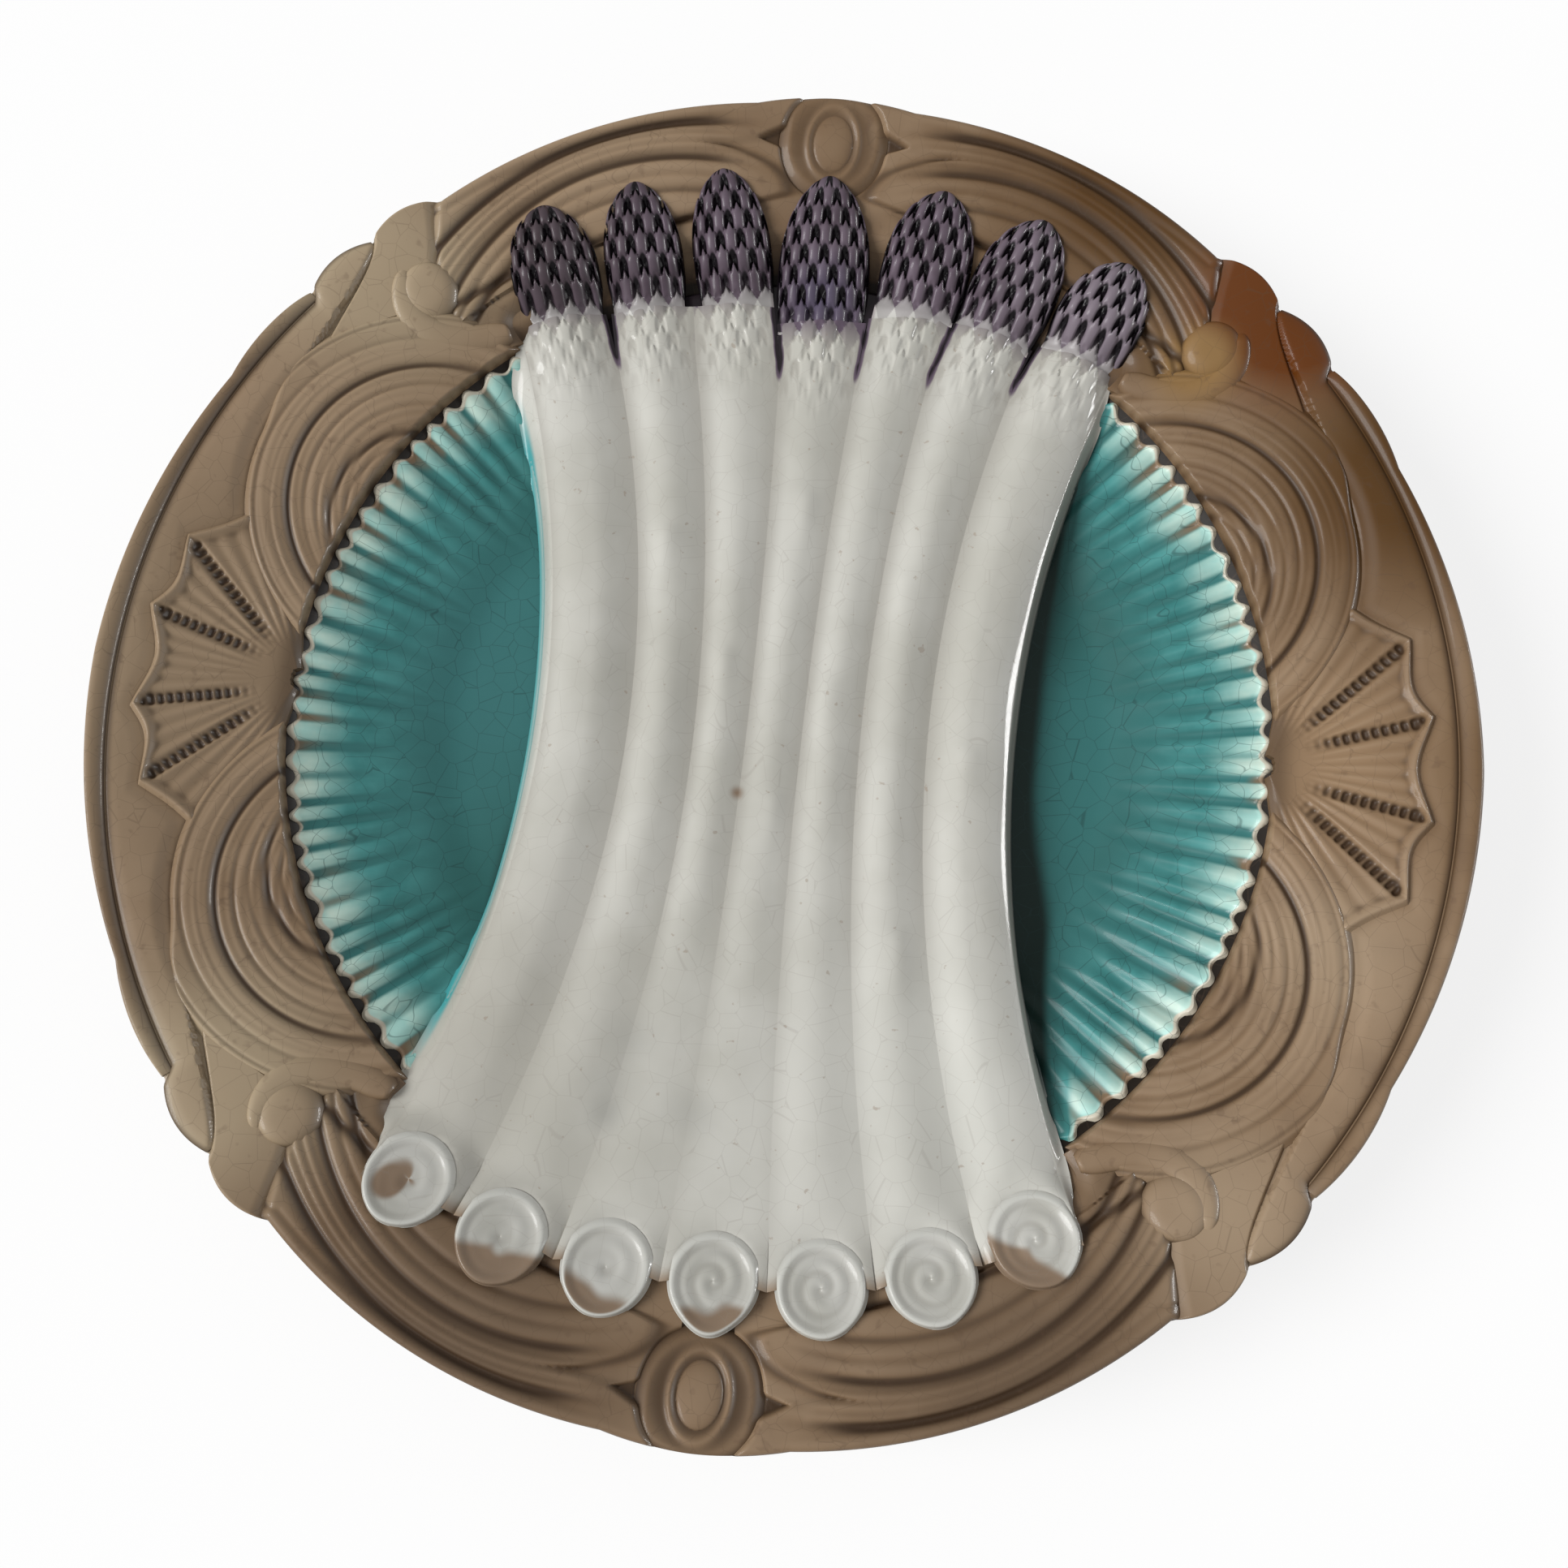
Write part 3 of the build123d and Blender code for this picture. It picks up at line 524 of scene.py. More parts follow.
for index in range(spear_count):
    base, point, half = tip_line(index)
    left, right = stalk_edge(index, index), stalk_edge(index + 1, index)
    u = np.linspace(-1, 1, 71)
    side = {0: -1, spear_count - 1: 1}.get(index, 0)
    x = (left[:, :1] + right[:, :1]) / 2 + (right - left)[:, :1] / 2 * u
    y = (left[:, 1:] + right[:, 1:]) / 2 + (right - left)[:, 1:] / 2 * u
    y = y - 1.2 * np.where(side * u > 0, 0, u**2) * smooth(y, y[:1] + 11, y[:1])
    crown = stalk_crown(u)
    crown = np.where(side * u > 0, np.maximum(crown, 1 - 0.95 * np.abs(u) ** 2.2), crown)
    fill = fill_height * smooth(y, 0, -70)
    lump = 0.13 * np.sin(y / 9.5 + 2.1 * index) + 0.10 * np.sin(y / 4.6 + index)
    run = point - base
    ahead = ((x - base[0]) * run[0] + (y - base[1]) * run[1]) / np.hypot(*run)
    aside = ((x - base[0]) * half[0] + (y - base[1]) * half[1]) / tip_half_width[index]
    scale, pit, end = scales(aside / scale_width, ahead / scale_rise)
    head = smooth(ahead, -19, -5)
    z = bed_height(y) + stalk_valley + fill
    z += (stalk_relief[index] - fill_flattening[index] * fill + lump + bract_rise(x, y)) * crown
    z += (0.25 * scale - 0.3 * pit) * head * crown
    cut_gap = np.hypot(x - cut_end_x[index], y - cut_end_y[index])
    seat = rim_height(x, y) + cut_end_rise - 1.2 * smooth(cut_gap, 7.4, 5.8)
    z += (seat - z) * smooth(cut_gap, 12.0, 7.2)
    # Darker off the crown towards the grooves and in the scale pits: pooled glaze and painted shade.
    pooled_and_shaded = 0.7 * (1 - crown) * (1 - 0.3 * fill) + 0.35 * pit * head
    inner = np.where(side * u > 0, 0, np.abs(u))
    dark = np.where(u < 0, *head_dark[index:index + 2])
    pooled_and_shaded += 2.4 * dark * smooth(inner, 0.84, 0.99) * smooth(y, head_y - 8, head_y - 1)
    border = smooth(ahead - 3.0 * end, -1.4, 1.4)
    pooled_and_shaded = np.maximum(pooled_and_shaded, (1.1 + 0.7 * border) * (border > 0))
    washed_and_shadowed = -smooth(y, y[:1] + 3.5, y[:1] - 1.0)
    if side:
        column, edge = (0, left) if side < 0 else (-1, right)
        w = np.linspace(0, 1, 22)[1:]
        top = z[:, [column]]
        edge_x, edge_y = edge[:, :1], edge[:, 1:]
        lean = smooth(edge_y, foot_y[0], foot_y[0] + 14) * smooth(edge_y, head_y + 2, head_y - 12)
        wall_x, wall_y = edge_x + side * wall_spread[side] * lean * w, edge_y + 0 * w
        foot = np.minimum(ground_height(wall_x, wall_y) - 0.3, top)
        fall = 0.12 * w + 0.88 * smooth(w, 0, 1)
        tall = np.clip((top - foot) / 5, 0, 1)
        crept = tall * smooth(w, *wall_creep[side])
        # Painted shade: the right wall gets a pooled value of 1 and the left 0.2, so the right renders grey
        # and deep green.
        wall = (wall_x, wall_y, top + (foot - top) * fall, 0.2 + 0.8 * (side > 0) + 0 * foot, crept)
        body = (x, y, z, pooled_and_shaded, washed_and_shadowed)
        x, y, z, pooled_and_shaded, washed_and_shadowed = [
            np.concatenate([sheet[:, ::-1], main] if side < 0 else [main, sheet], 1)
            for main, sheet in zip(body, wall)]
    low = np.minimum(z, bed_height(y)) - 0.5
    add_piece(f"stalk_{index + 1}", [closed(x, y, z, low, pooled_and_shaded, washed_and_shadowed)], stalk_glaze)


# Tips: the seven purple heads, each a blunt bud of pointed scales laid over the rim.
# Purple glaze stands on the scales and black has gathered between them, and white creeps up the base.

tip_height = 3.2
scale_relief = 1.2

tip_glaze, place, pool_and_shade, wash_and_shadow = new_glaze("tip_glaze")
bloom = place.noise(120.0, 3.0)
purple = bloom.between(0.3, 0.7).mix((0.075, 0.053, 0.070), (0.140, 0.106, 0.136))
purple = tinted(place, purple, (0.055, 0.039, 0.043), [(-54, 88, 28, 0.8)])
purple = tinted(place, purple, (0.200, 0.166, 0.195), [(54, 82, 30, 0.9)])
purple = tinted(place, purple, (0.075, 0.066, 0.120), [(1, 82, 12, 0.6)])
purple = pool_and_shade.between(0.3, 0.85).mix(purple, (0.004, 0.002, 0.004))
milk = pool_and_shade.between(0.4, 1.0).mix((0.53, 0.52, 0.49), (0.38, 0.34, 0.34))
purple = wash_and_shadow.mix(purple, milk)
fire(place, purple, 0.42, 0.12)

for index in range(spear_count):
    base, point, half = tip_line(index)
    length = np.hypot(*(point - base))
    s = np.linspace(-0.16, 1, 160)[:, None]
    t = np.linspace(-1, 1, 91)
    width = (1 - np.clip((s - 0.4) / 0.6, 0, 1) ** 2.2) ** 0.62 * (0.9 + 0.1 * smooth(s, 0, 0.3))
    width = np.maximum(width, 0.015)
    x = base[0] + (point - base)[0] * s + half[0] * width * t
    y = base[1] + (point - base)[1] * s + half[1] * width * t
    bud = smooth(s, 0.0, 0.35)
    root = bed_height(base[1]) + stalk_valley
    low = root + (rim_height(x, y) + 0.9 - root) * bud
    body = stalk_crown(t) + (np.sqrt(np.clip(1 - t**2, 0, 1)) * width**0.75 - stalk_crown(t)) * bud
    around = t + 0.62 * (np.arcsin(np.clip(t, -1, 1)) - t) * bud
    row = around * width**0.6 * tip_half_width[index] / scale_width
    scale, pit, end = scales(row, s * length / scale_rise)
    proud = scale_relief * (scale * (0.9 + 0.2 * end) - 0.4) - 0.5 * pit
    z = low + (stalk_relief[index] + (tip_height - stalk_relief[index]) * bud) * body
    z += proud * np.clip(4 * body, 0, 1) * np.clip(5 * (1 - s), 0, 1) * smooth(s, 0, 0.12)
    z -= 0.7 * smooth(s, 0.0, -0.1)
    seam = smooth(np.abs(t), 0.84, 1.0) * smooth(s, 0.75, 0.45)
    pooled_and_shaded = np.maximum(pit, 0.5 * smooth(scale, 0.3, 0.0)) * (0.35 + 0.65 * smooth(s, 0.0, 0.3))
    pooled_and_shaded = np.maximum(pooled_and_shaded, seam)
    white = 1 - smooth(s * length - 3.0 * end, -1.4, 1.4)
    add_piece(f"tip_{index + 1}", [closed(x, y, z, z - 2.0, pooled_and_shaded, white)], tip_glaze)


# Cut ends: the round cut faces at the foot of the spears, each a faintly curled disc in a raised ring.
# The white glaze was brushed over them by hand, so the brown of the rim shows on the outer third of some.

bare_from = [9.0, 2.0, 3.4, 4.0, 9.5, 9.5, 2.6]
bare_turn = [0, 0.3, -0.2, 0, 0, 0, -0.9]
ring_radius, ring_width = 6.6, 0.95
rho = cut_end_radius - np.concatenate([[0, 0, 0.05, 0.15], np.linspace(0.3, 7.55, 50)])[:, None]
phi = np.linspace(0, 2 * np.pi, 120, endpoint=False)

cut_glaze, place, pool_and_shade, wash_and_shadow = new_glaze("cut_end_glaze")
dabs = place.noise(90.0, 3.0)
white = dabs.between(0.3, 0.7).mix((0.42, 0.415, 0.375), (0.51, 0.505, 0.470))
# Painted highlight and shade: lighter on the raised ring, where the pooled value is below 0, and darker in
# the groove inside it, the curl's troughs and the dimple.
white = (0 - pool_and_shade).between(0.2, 0.9).mix(white, (0.54, 0.54, 0.50))
white = (pool_and_shade.between(0.0, 1.0) * 0.6).mix(white, (0.27, 0.255, 0.22))
bare = dabs.mix((0.180, 0.120, 0.078), (0.265, 0.195, 0.135))
white = wash_and_shadow.between(0.2, 0.8).mix(white, bare)
white = (crackle(place) * 0.15).mix(white, (0.24, 0.21, 0.18))
fire(place, white, 0.32, 0.2)

for index in range(spear_count):
    middle_x, middle_y = cut_end_x[index], cut_end_y[index]
    out = np.arctan2(middle_y, middle_x)
    beak = 1 + (0.13 if index == 3 else 0.03) * np.exp(-((phi - out % (2 * np.pi)) / 0.45) ** 2)
    x = middle_x + rho * beak * np.cos(phi)
    y = middle_y + rho * beak * np.sin(phi)
    ring = np.exp(-(((rho - ring_radius) / ring_width) ** 2))
    curl = np.cos(2 * np.pi * rho / 3.1 - phi) * smooth(rho, 5.8, 4.2) * (1 if index >= 3 else 0.35)
    dimple = np.exp(-((rho / 1.8) ** 2)) * (index < 3)
    fall = 1.3 * smooth(rho, 6.7, 7.6) ** 2 * smooth(np.cos(phi - out), -0.5, 0.2)
    relief = 2.45 + 0.5 * ring + 0.12 * curl - 0.4 * dimple - fall
    relief[0] = -1.5
    ragged = 0.5 * np.sin(2 * phi + index) + 0.2 * np.sin(5 * phi)
    outward = rho * np.cos(phi - out - bare_turn[index]) + ragged
    bare = smooth(outward, bare_from[index] - 2.2, bare_from[index] + 2.0)
    if index == 0:
        smudge = np.hypot(x - middle_x + 2.6, y - middle_y) + 0.6 * np.sin(3 * phi)
        bare = smooth(smudge, 4.8, 1.2)
    if index in (2, 3):
        bare = bare * smooth(rho, 7.2, 6.2)
    # Painted shade in the groove inside the ring, the curl's troughs and the dimple, and a painted highlight
    # on the ring itself.
    pooled_and_shaded = np.clip(0.7 * np.exp(-(((rho - 5.8) / 0.7) ** 2)) - 0.5 * curl + 0.5 * dimple, 0, 1) - ring
    rings = np.stack([x, y, rim_height(x, y) + relief], -1)
    add_piece(f"cut_end_{index + 1}", [(rings, pooled_and_shaded, bare)], cut_glaze)


# Scrolls: the ribbed crescents that curl from the shell to each corner, pressed with the body.
# A few soft ribs of uneven width run round one middle and die against the wells.

scroll_x, scroll_y, scroll_radius = 66.0, 35.0, 35.0
moulding_depth = 1.2
well_gap = 0.2
quarters = {"upper_right": (1, 1), "upper_left": (-1, 1), "lower_right": (1, -1), "lower_left": (-1, -1)}


def rounded(distance, radius):
    """Quarter circle: 0 at an edge, 1 from the radius inwards."""
    t = np.clip(distance / radius, 0, 1)
    return np.sqrt(t * (2 - t))


def scored(position, lines):
    """Soft grooves: the sum of bell curves, each of its own depth and width about its own line."""
    return sum(depth * np.exp(-(((position - line) / width) ** 2)) for line, depth, width in lines)


def moulded(x, y, relief, pooled_and_shaded):
    """Closed rings of a moulding on the rim face."""
    face = rim_height(x, y)
    # The pooled value darkens the brown in grooves and at the foot of the moulding: pooled glaze and painted
    # shade.
    return closed(x, y, face + relief, face - moulding_depth, np.clip(pooled_and_shaded, 0, 1.2))


def mirrored(shell, across_x, across_y):
    """The same moulding in another quarter of the rim."""
    rings, pooled_and_shaded, washed_and_shadowed = shell
    return rings * [across_x, across_y, 1], pooled_and_shaded, washed_and_shadowed


turn = np.linspace(-51.0, 107.0, 260)[:, None]
toward = scroll_x * np.cos(np.radians(turn)) + scroll_y * np.sin(np.radians(turn))
nearest = (well_radius + well_gap) ** 2 - scroll_x**2 - scroll_y**2
nearest = -toward + np.sqrt(toward**2 + nearest)
nearest = np.minimum(nearest, scroll_radius - 0.2)
outer = scroll_radius + 3.2 * smooth(turn, 15, 42) * smooth(turn, 107, 85)
rho = outer + (nearest - outer) * np.linspace(0, 1, 110)
x, y = scroll_x + rho * np.cos(np.radians(turn)), scroll_y + rho * np.sin(np.radians(turn))
inset = scroll_radius - rho
drift = 0.055 * turn
lines = [
    (-1.2, 0.45, 0.4), (2.2, 0.38, 0.45), (5.0, 0.28, 0.4), (7.6 - 0.1 * drift, 0.9, 0.75),
    (10.6, 0.38, 0.45), (13.0 + 0.4 * drift, 0.32, 0.45),
    (15.4 + drift, 0.85, 0.75), (18.0 + drift, 0.35, 0.45), (20.6 + drift, 0.5, 0.6)]
groove = scored(inset, lines)
ribs = np.exp(-(((inset - 5.0) / 1.7) ** 2)) + 0.8 * np.exp(-(((inset - 13.0) / 1.9) ** 2))
fine = np.cos(2 * np.pi * inset / 1.7 + 1.6 * np.sin(np.radians(2.2 * turn))) * smooth(inset, 1.5, 4)
edges = smooth(outer - rho, -0.4, 1.9) * rounded(rho - nearest, 1.0)
relief = (1.5 + 0.25 * ribs - 0.6 * groove + 0.05 * fine) * edges
pooled_and_shaded = 0.22 - 0.3 * ribs + 0.75 * groove - 0.12 * fine + 0.3 * (1 - edges)
for name, flip in quarters.items():
    add_piece(f"scroll_{name}", [mirrored(moulded(x, y, relief, pooled_and_shaded), *flip)], rim_glaze)


# Shells: the fan between the two scrolls on each side, with a scalloped lip, short ribs and rows of beads.
# It is pressed with the body, and the brown glaze has gathered between the ribs and the beads.

fan_x, fan_half_turn = 86.5, 82
bead_rows = [15.5, 45.0]
bead_step = 1.55
ribs_in_turn = 52
sides = {"right": (1, 1), "left": (-1, 1)}


def fan_reach(angle):
    """Distance from the fan's foot to its lip: straight between the points of the scallops, less a sine."""
    lobe = np.searchsorted([19.7, 46.2], np.abs(angle))
    start, end = np.array([(-19.7, 19.7), (19.7, 46.2), (46.2, 72)])[lobe].T
    near, far = np.array([(28.2, 28.2), (28.2, 32.5), (32.5, 33.0)])[lobe].T
    t = (np.abs(angle).T - start) / (end - start)
    return (near + (far - near) * t - np.array([3.9, 2.8, 1.4])[lobe].T * np.sin(np.pi * t)).T


angle = np.linspace(-fan_half_turn, fan_half_turn, 400)[:, None]
reach = fan_reach(angle)
radius = reach * np.linspace(0.06, 1, 110)
x, y = fan_x + radius * np.cos(np.radians(angle)), radius * np.sin(np.radians(angle))
to_lip = reach - radius
lip = np.exp(-(((to_lip - 1.2) / 1.0) ** 2)) * smooth(np.abs(angle), 68, 65)
inside = smooth(to_lip, -0.6, 1.3)
pits, hollow = 0 * x, 0 * x
for row in bead_rows:
    ahead, over = x - 88, np.abs(y) - 2
    along = ahead * np.cos(np.radians(row)) + over * np.sin(np.radians(row))
    off = np.abs(over * np.cos(np.radians(row)) - ahead * np.sin(np.radians(row)))
    reached = smooth(along, 4, 12) * smooth(to_lip, 1.2, 2.2)
    hollow = np.maximum(hollow, np.exp(-((off / 1.15) ** 4)) * reached)
    beads = 0.5 - 0.5 * np.cos(2 * np.pi * along / bead_step)
    pits = np.maximum(pits, np.exp(-((off / 0.95) ** 4)) * reached * beads)
rib = (0.5 + 0.5 * np.cos(np.radians(angle) * ribs_in_turn)) * smooth(radius, 6, 14)
rib = rib * smooth(to_lip, 1.8, 3.2) * (1 - hollow)
relief = (0.8 + 0.75 * lip + 0.25 * rib - 0.3 * hollow - 0.5 * pits) * inside * smooth(np.abs(angle), 90, 66)
pooled_and_shaded = 0.42 - 0.6 * lip - 0.3 * rib + 0.25 * hollow + 0.55 * pits + 0.2 * (1 - inside)
pooled_and_shaded += 0.3 * np.exp(-(((to_lip - 2.6) / 0.7) ** 2)) + 0.3 * smooth(x, 93, 88)
for name, flip in sides.items():
    add_piece(f"shell_{name}", [mirrored(moulded(x, y, relief, pooled_and_shaded), *flip)], rim_glaze)


# Side bands: the soft raised strip along each side of the rim, between the scrolls and the border.
# It is pressed with the body and widens into a lobe at each corner.

border_across = 0.893
band_half_turn = 44.6

angle = np.linspace(-band_half_turn, band_half_turn, 380)[:, None]
inner = 0.42 + 0.1 * smooth(np.abs(angle), 26, 10)
outer = border_across + (edge_across(angle) - 0.012 - border_across) * smooth(np.abs(angle), 36.8, 38.2)
across = inner + (outer - inner) * np.linspace(0, 1, 52)
x, y = rim_place(angle, across)
fan_gap = np.hypot(x - fan_x, y) - fan_reach(np.degrees(np.arctan2(y, x - fan_x)))
scroll_gap = np.hypot(x - scroll_x, np.abs(y) - scroll_y) - scroll_radius
free = np.minimum(fan_gap, scroll_gap)
gap = (outer - across) * rim_width
seam = parabola(np.clip(across, 0.70, 0.96), (0.955, 45.0), (0.83, 42.0), (0.72, 34.6))
ends = smooth((seam - np.abs(angle)) * 2.0, -0.2, 1.2)
body = rounded(gap, 2.6) * ends
swell = np.sin(np.pi * np.clip(gap / 11, 0, 1)) * smooth(np.abs(angle), 8, 24)
relief = (0.55 + 0.75 * swell) * body * (0.6 + 0.4 * smooth(free, 0, 2.5)) - 0.4 * smooth(free, 0.0, -0.8)
pooled_and_shaded = 0.65 - 0.2 * smooth(free, 0, 1.5) - 0.2 * body - 0.25 * swell + 0.4 * smooth(gap, 1.8, 0.2)
for name, flip in sides.items():
    add_piece(f"side_band_{name}", [mirrored(moulded(x, y, relief, pooled_and_shaded), *flip)], rim_glaze)


# Side borders: the soft bead that edges the plate along each side, pressed with the body.
# A scored line parts it from the band, and the edge itself is painted pale as a highlight.

border_half_turn = 37.4
angle = np.linspace(-border_half_turn, border_half_turn, 420)[:, None]
inner, outer = border_across + 0.006, edge_across(angle) - 0.006
t = np.linspace(0, 1, 26)
across = inner + (outer - inner) * t
x, y = rim_place(angle, across)
ends = rounded((border_half_turn + 0.1 - np.abs(angle)) * 2.0, 6.0)
hump = rounded((across - inner) * rim_width, 2.4) * rounded((outer - across) * rim_width, 1.8)
relief = 1.1 * hump * ends - 0.4 * smooth(t, 0.8, 1.0)
# Painted highlight: the pooled value falls towards the outer edge, so the edge renders pale.
pooled_and_shaded = 0.85 - 0.55 * hump - 0.3 * smooth(t, 0.75, 1.0)
for name, flip in sides.items():
    add_piece(f"side_border_{name}", [mirrored(moulded(x, y, relief, pooled_and_shaded), *flip)], rim_glaze)


# Reeded leaves: the long leaf of parallel reeds that sweeps from each side of a medallion to the corner.
# It is pressed with the body, smooth at its pointed end and ribbed towards the corner.

medal_y, medal_radius = 111.8, 10.2
leaf_start, leaf_end = 45.8, 87.6
angle = np.linspace(leaf_start, leaf_end, 340)[:, None]
inner, outer = 0.03, edge_across(angle) - 0.008
across = inner + (outer - inner) * np.linspace(0, 1, 112)
x, y = rim_place(angle, across)
upper = parabola(angle, (83, 0.84), (66, 0.895), (48.5, 0.69))
lower = parabola(angle, (80, 0.65), (66, 0.735), (50, 0.50))
space = upper - lower
lines = [
    (outer - 0.075, 0.35, 0.018), (upper, 1.0, 0.028), (upper - 0.3 * space, 0.4, 0.018),
    (upper - 0.55 * space, 0.45, 0.018), (upper - 0.78 * space, 0.35, 0.016), (lower, 0.9, 0.028),
    (lower - 0.1, 0.45, 0.02), (lower - 0.19, 0.6, 0.024),
    (parabola(angle, (60, 0.36), (54, 0.37), (48.8, 0.385)), 0.8, 0.026)]
groove = scored(across, lines) * smooth(angle, 84.5, 77)
recess = smooth(0.024 * (angle - 82.8) - np.abs(across - 0.775), -0.012, 0.014)
lobe_end = 86.0 - 85 * np.clip(across - 0.47, 0, 1) ** 2 - 1200 * np.clip(0.47 - across, 0, 1) ** 2
lobe = np.maximum(smooth(lobe_end - angle, -0.2, 1.4), smooth(across, 0.74, 0.79))
line = np.exp(-(((angle - lobe_end) / 1.0) ** 2)) * smooth(across, 0.78, 0.74)
start = np.maximum(leaf_start, 47.9 + 11 * (across - 0.67))
edges = rounded((outer - across) * rim_width, 1.6) * smooth((angle - start) * 2.0, 0, 3.2)
ribs = 0.5 + 0.5 * np.cos((across - lower) / space * 2 * np.pi)
relief = (0.65 + 0.75 * lobe + 0.15 * (1 - ribs) - 0.8 * groove) * edges * (1 - 0.95 * recess)
relief -= 1.6 * smooth(np.hypot(x, y - medal_y), medal_radius + 0.4, medal_radius - 1.0)
relief -= 2.2 * smooth(across, 0.27, 0.13) * smooth(angle, 50, 53)
pooled_and_shaded = 0.2 + 0.8 * groove - 0.12 * (1 - ribs) + 0.7 * (1 - edges) + 0.75 * recess + 0.55 * line
pooled_and_shaded += 0.4 * smooth(across, 0.5, 0.2) * smooth(angle, 82, 60)
for name, flip in quarters.items():
    add_piece(f"reeded_leaf_{name}", [mirrored(moulded(x, y, relief, pooled_and_shaded), *flip)], rim_glaze)


# Corner leaves: the smooth lobe at each corner, whose stem runs down between the scroll and the band.
# It is pressed with the body and catches the light on its soft edge.

s = np.linspace(0, 1, 150)[:, None]
t = np.linspace(0, 1, 70)
left_angle = parabola(s, (0, 52.2), (0.5, 50.0), (1, 46.5))
left_across = parabola(s, (0, 0.935), (0.5, 0.72), (1, 0.44))
right_angle = parabola(s, (0, 45.0), (0.5, 42.0), (1, 34.6))
right_across = parabola(s, (0, 0.955), (0.5, 0.83), (1, 0.69))
angle = left_angle + (right_angle - left_angle) * t
across = left_across + (right_across - left_across) * t
across += (edge_across(angle) - 0.01 - across) * (1 - s) ** 6
x, y = rim_place(angle, across)
breadth = np.hypot(x[:, -1:] - x[:, :1], y[:, -1:] - y[:, :1])
length = 44.0
edges = smooth(breadth * t, 0, 3.2) * smooth(breadth * (1 - t), -0.2, 1.2) * rounded(s * length, 2.6)
relief = (0.8 + 0.35 * np.sin(np.pi * t)) * edges
pooled_and_shaded = 0.7 - 0.55 * edges
for name, flip in quarters.items():
    add_piece(f"corner_leaf_{name}", [mirrored(moulded(x, y, relief, pooled_and_shaded), *flip)], rim_glaze)


# Volutes: the round head and comma tail that end each scroll, pressed with the body.
# The ball is paler on top and the tail darker in its crook: thinner and pooled glaze, with painted
# highlight and shade.

ball_x, ball_y, ball_radius = 72.9, 75.9, 5.6


def bezier(s, points):
    """Plan line of a cubic Bezier curve: four points weighed by the terms of ((1 - s) + s)^3."""
    weights = np.concatenate([(1 - s) ** 3, 3 * s * (1 - s) ** 2, 3 * s**2 * (1 - s), s**3], 1)
    return np.hsplit(weights @ np.array(points), 2)


rho = np.concatenate([[1.0], 1 - np.linspace(0, 0.995, 40) ** 1.5])[:, None]
phi = np.linspace(0, 2 * np.pi, 96, endpoint=False)
x, y = ball_x + ball_radius * rho * np.cos(phi), ball_y + ball_radius * rho * np.sin(phi)
relief = 2.3 * (1 - rho**4) ** 0.7 + 0 * phi
z = rim_height(x, y) + relief
z[0] -= moulding_depth
ball = np.stack([x, y, z], -1), 0.8 - 0.75 * smooth(relief, 0.3, 2.2), 0.0

s = np.linspace(0, 1, 110)[:, None]
t = np.linspace(-1, 1, 50)
path_x, path_y = bezier(s, [(77.6, 79.2), (79.2, 68.4), (69.0, 65.0), (57.6, 70.8)])
slope_x, slope_y = np.gradient(path_x, axis=0), np.gradient(path_y, axis=0)
slope = np.hypot(slope_x, slope_y)
half = 3.1 * rounded(s + 0.01, 0.4) * (1 - 0.1 * s) * rounded(1.02 - s, 0.12)
x, y = path_x - slope_y / slope * half * t, path_y + slope_x / slope * half * t
dome = np.sqrt(np.clip(1 - np.abs(t) ** 2.5, 0, 1))
relief = 1.9 * dome * np.clip(half / 1.8, 0, 1) + 0 * s
tail = moulded(x, y, relief, 0.85 - 0.7 * dome + 0 * s)
for name, flip in quarters.items():
    add_piece(f"volute_{name}", [mirrored(ball, *flip), mirrored(tail, *flip)], rim_glaze)


# Medallions: the tall oval boss in a double ring at the top and the bottom of the rim.
# They are pressed with the body, in a frame that spreads to the edge of the plate.

boss_half_width, boss_half_height = 3.7, 5.0
q = np.concatenate([[1.0], 1 - np.linspace(0, 0.99, 90)])[:, None]
phi = np.linspace(0, 2 * np.pi, 160, endpoint=False)
shoulder = np.exp(-(((np.degrees(phi) - 38) / 20) ** 2)) + np.exp(-(((np.degrees(phi) - 142) / 20) ** 2))
spread = medal_radius + 1.2 * shoulder
x, y = spread * q * np.cos(phi), medal_y + spread * q * np.sin(phi)
edge = well_radius + rim_width * (edge_across(np.degrees(np.arctan2(y, x))) - 0.012)
trim = np.minimum(1.0, edge / np.hypot(x, y))
x, y = x * trim, y * trim
oval = np.hypot(x / boss_half_width, (y - medal_y) / boss_half_height)
boss = np.sqrt(np.clip(1 - oval**2, 0, 1))
rings_raised = scored(oval, [(1.30, 0.9, 0.17)]) + scored(np.hypot(x, y - medal_y), [(8.8, 0.6, 1.4)])
edges = smooth((1 - q) * spread, -0.5, 2.4) * rounded(edge - np.hypot(x, y) + 0.2, 1.2)
relief = (0.6 + 0.95 * boss + 0.7 * rings_raised) * edges
pooled_and_shaded = np.clip(0.85 - 0.75 * boss**0.7 - 0.6 * rings_raised + 0.3 * (1 - edges), 0, 1)
for name, side, crisp in (("top", 1, 0.6), ("bottom", -1, 0.9)):
    z = rim_height(x, y) + 0.9 * (1 - crisp) * edges + crisp * relief
    z[0] -= moulding_depth
    rings = np.stack([x, side * y, z], -1)
    shade = 0.3 * (1 - crisp) + crisp * pooled_and_shaded
    add_piece(f"medallion_{name}", [(rings, shade, 0.0)], rim_glaze)


# Stage: a plain white table top, soft daylight from the left and the photograph's viewing place.
# The table keeps the plate's shadow, and a long narrow lamp on the right gives the long glints.

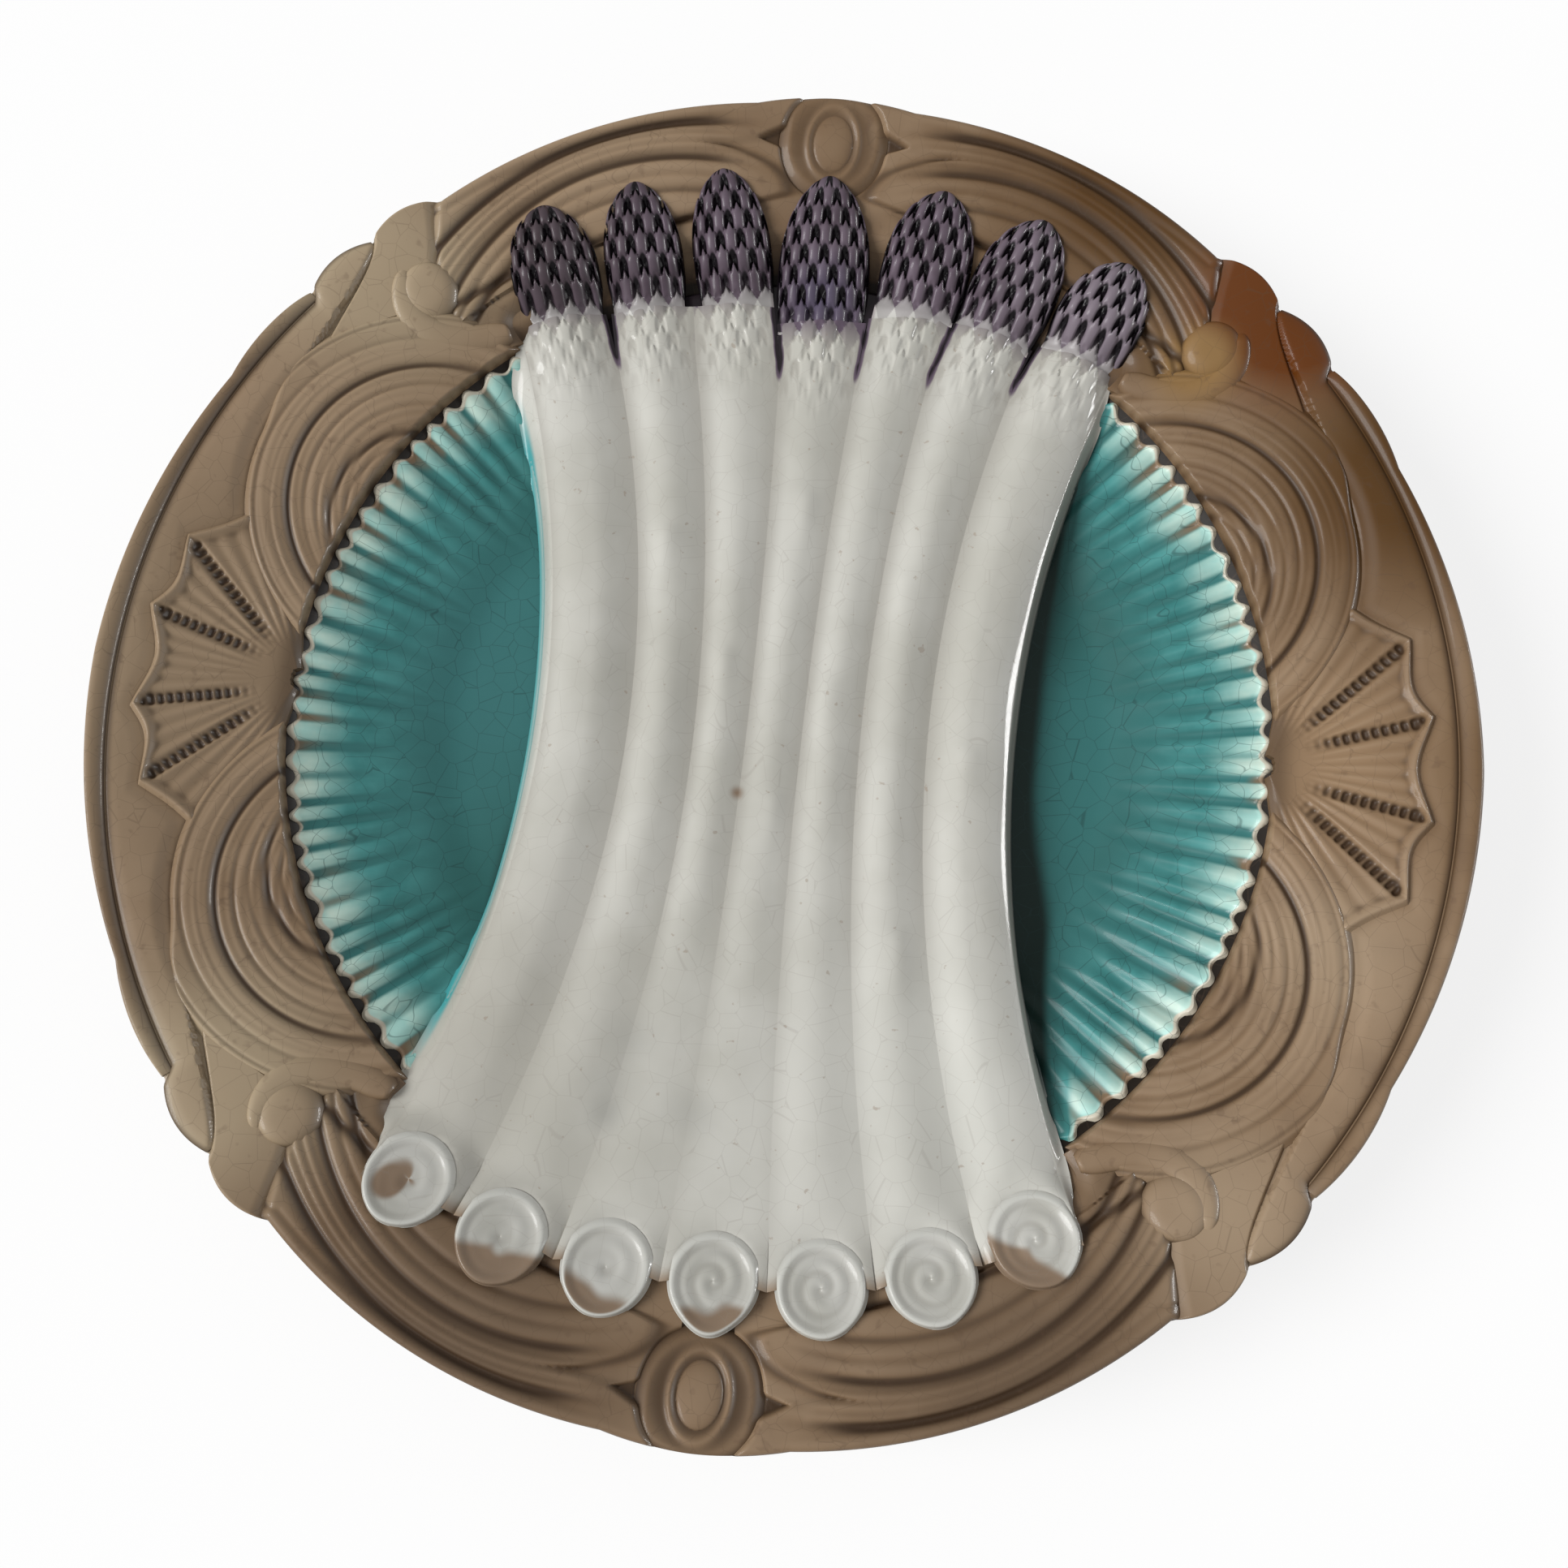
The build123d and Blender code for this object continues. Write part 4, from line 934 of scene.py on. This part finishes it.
table = bpy.data.meshes.new("table_top")
far = 4.0
table.from_pydata([(-far, -far, 0), (far, -far, 0), (far, far, 0), (-far, far, 0)], [], [(0, 1, 2, 3)])
table_paint, place, pool_and_shade, wash_and_shadow = new_glaze("table_paint")
paper = place.noise(3.0).between(0.3, 0.7).mix((0.93, 0.93, 0.93), (0.95, 0.95, 0.95))
matt = place.node("ShaderNodeBsdfDiffuse", {}, {"Color": paper})
bright = place.node("ShaderNodeEmission", {}, {"Strength": 1.0})
rays = place.node("ShaderNodeLightPath", {}, {}, "Is Camera Ray")
for kind in ("Is Glossy Ray", "Is Transmission Ray"):
    rays = rays + place.node("ShaderNodeLightPath", {}, {}, kind)
seen = place.node("ShaderNodeMixShader", {}, {0: 0.8 * rays, 1: matt, 2: bright})
place.node("ShaderNodeOutputMaterial", {}, {"Surface": seen})
table.materials.append(table_paint)
table_top = bpy.data.objects.new("table_top", table)
bpy.context.scene.collection.objects.link(table_top)

sun = bpy.data.lights.new("window_light", "SUN")
sun.energy = 2.8
sun.angle = radians(28)
window = bpy.data.objects.new("window_light", sun)
window.rotation_euler = (radians(8), radians(-50), 0)
bpy.context.scene.collection.objects.link(window)

world = bpy.data.worlds.new("room_light")
bpy.context.scene.world = world
world.use_nodes = True
room = world.node_tree.nodes["Background"]
room.inputs["Color"].default_value = (1, 1, 1, 1)
room.inputs["Strength"].default_value = 0.43

strip = bpy.data.lights.new("strip_lamp", "AREA")
strip.shape = "RECTANGLE"
strip.size, strip.size_y = 0.8, 0.26
strip.energy = 28.0
lamp = bpy.data.objects.new("strip_lamp", strip)
lamp_place = Vector((1.41, 0.35, 0.40))
lamp.location = lamp_place
lamp.rotation_euler = (-lamp_place).to_track_quat("-Z", "Y").to_euler()
lamp.visible_diffuse = False
bpy.context.scene.collection.objects.link(lamp)

photo_width, focal_length = 1932, 1800
turn_z, lean_x, lean_y = -0.103551, -0.215005, -0.0527127
eye_place = Vector((0.00114702, -0.00719974, 0.278137))
tilt = Matrix.Rotation(turn_z, 3, "Z") @ Matrix.Rotation(lean_x, 3, "X") @ Matrix.Rotation(lean_y, 3, "Y")
eye = bpy.data.cameras.new("photo_view")
eye.sensor_width = 36.0
eye.lens = eye.sensor_width * focal_length / photo_width
eye.clip_start = 0.01
camera = bpy.data.objects.new("photo_view", eye)
aim = tilt.transposed()
camera.matrix_world = Matrix.Translation(aim @ eye_place) @ aim.to_4x4()
bpy.context.scene.collection.objects.link(camera)
bpy.context.scene.camera = camera
bpy.context.scene.view_settings.view_transform = "Standard"
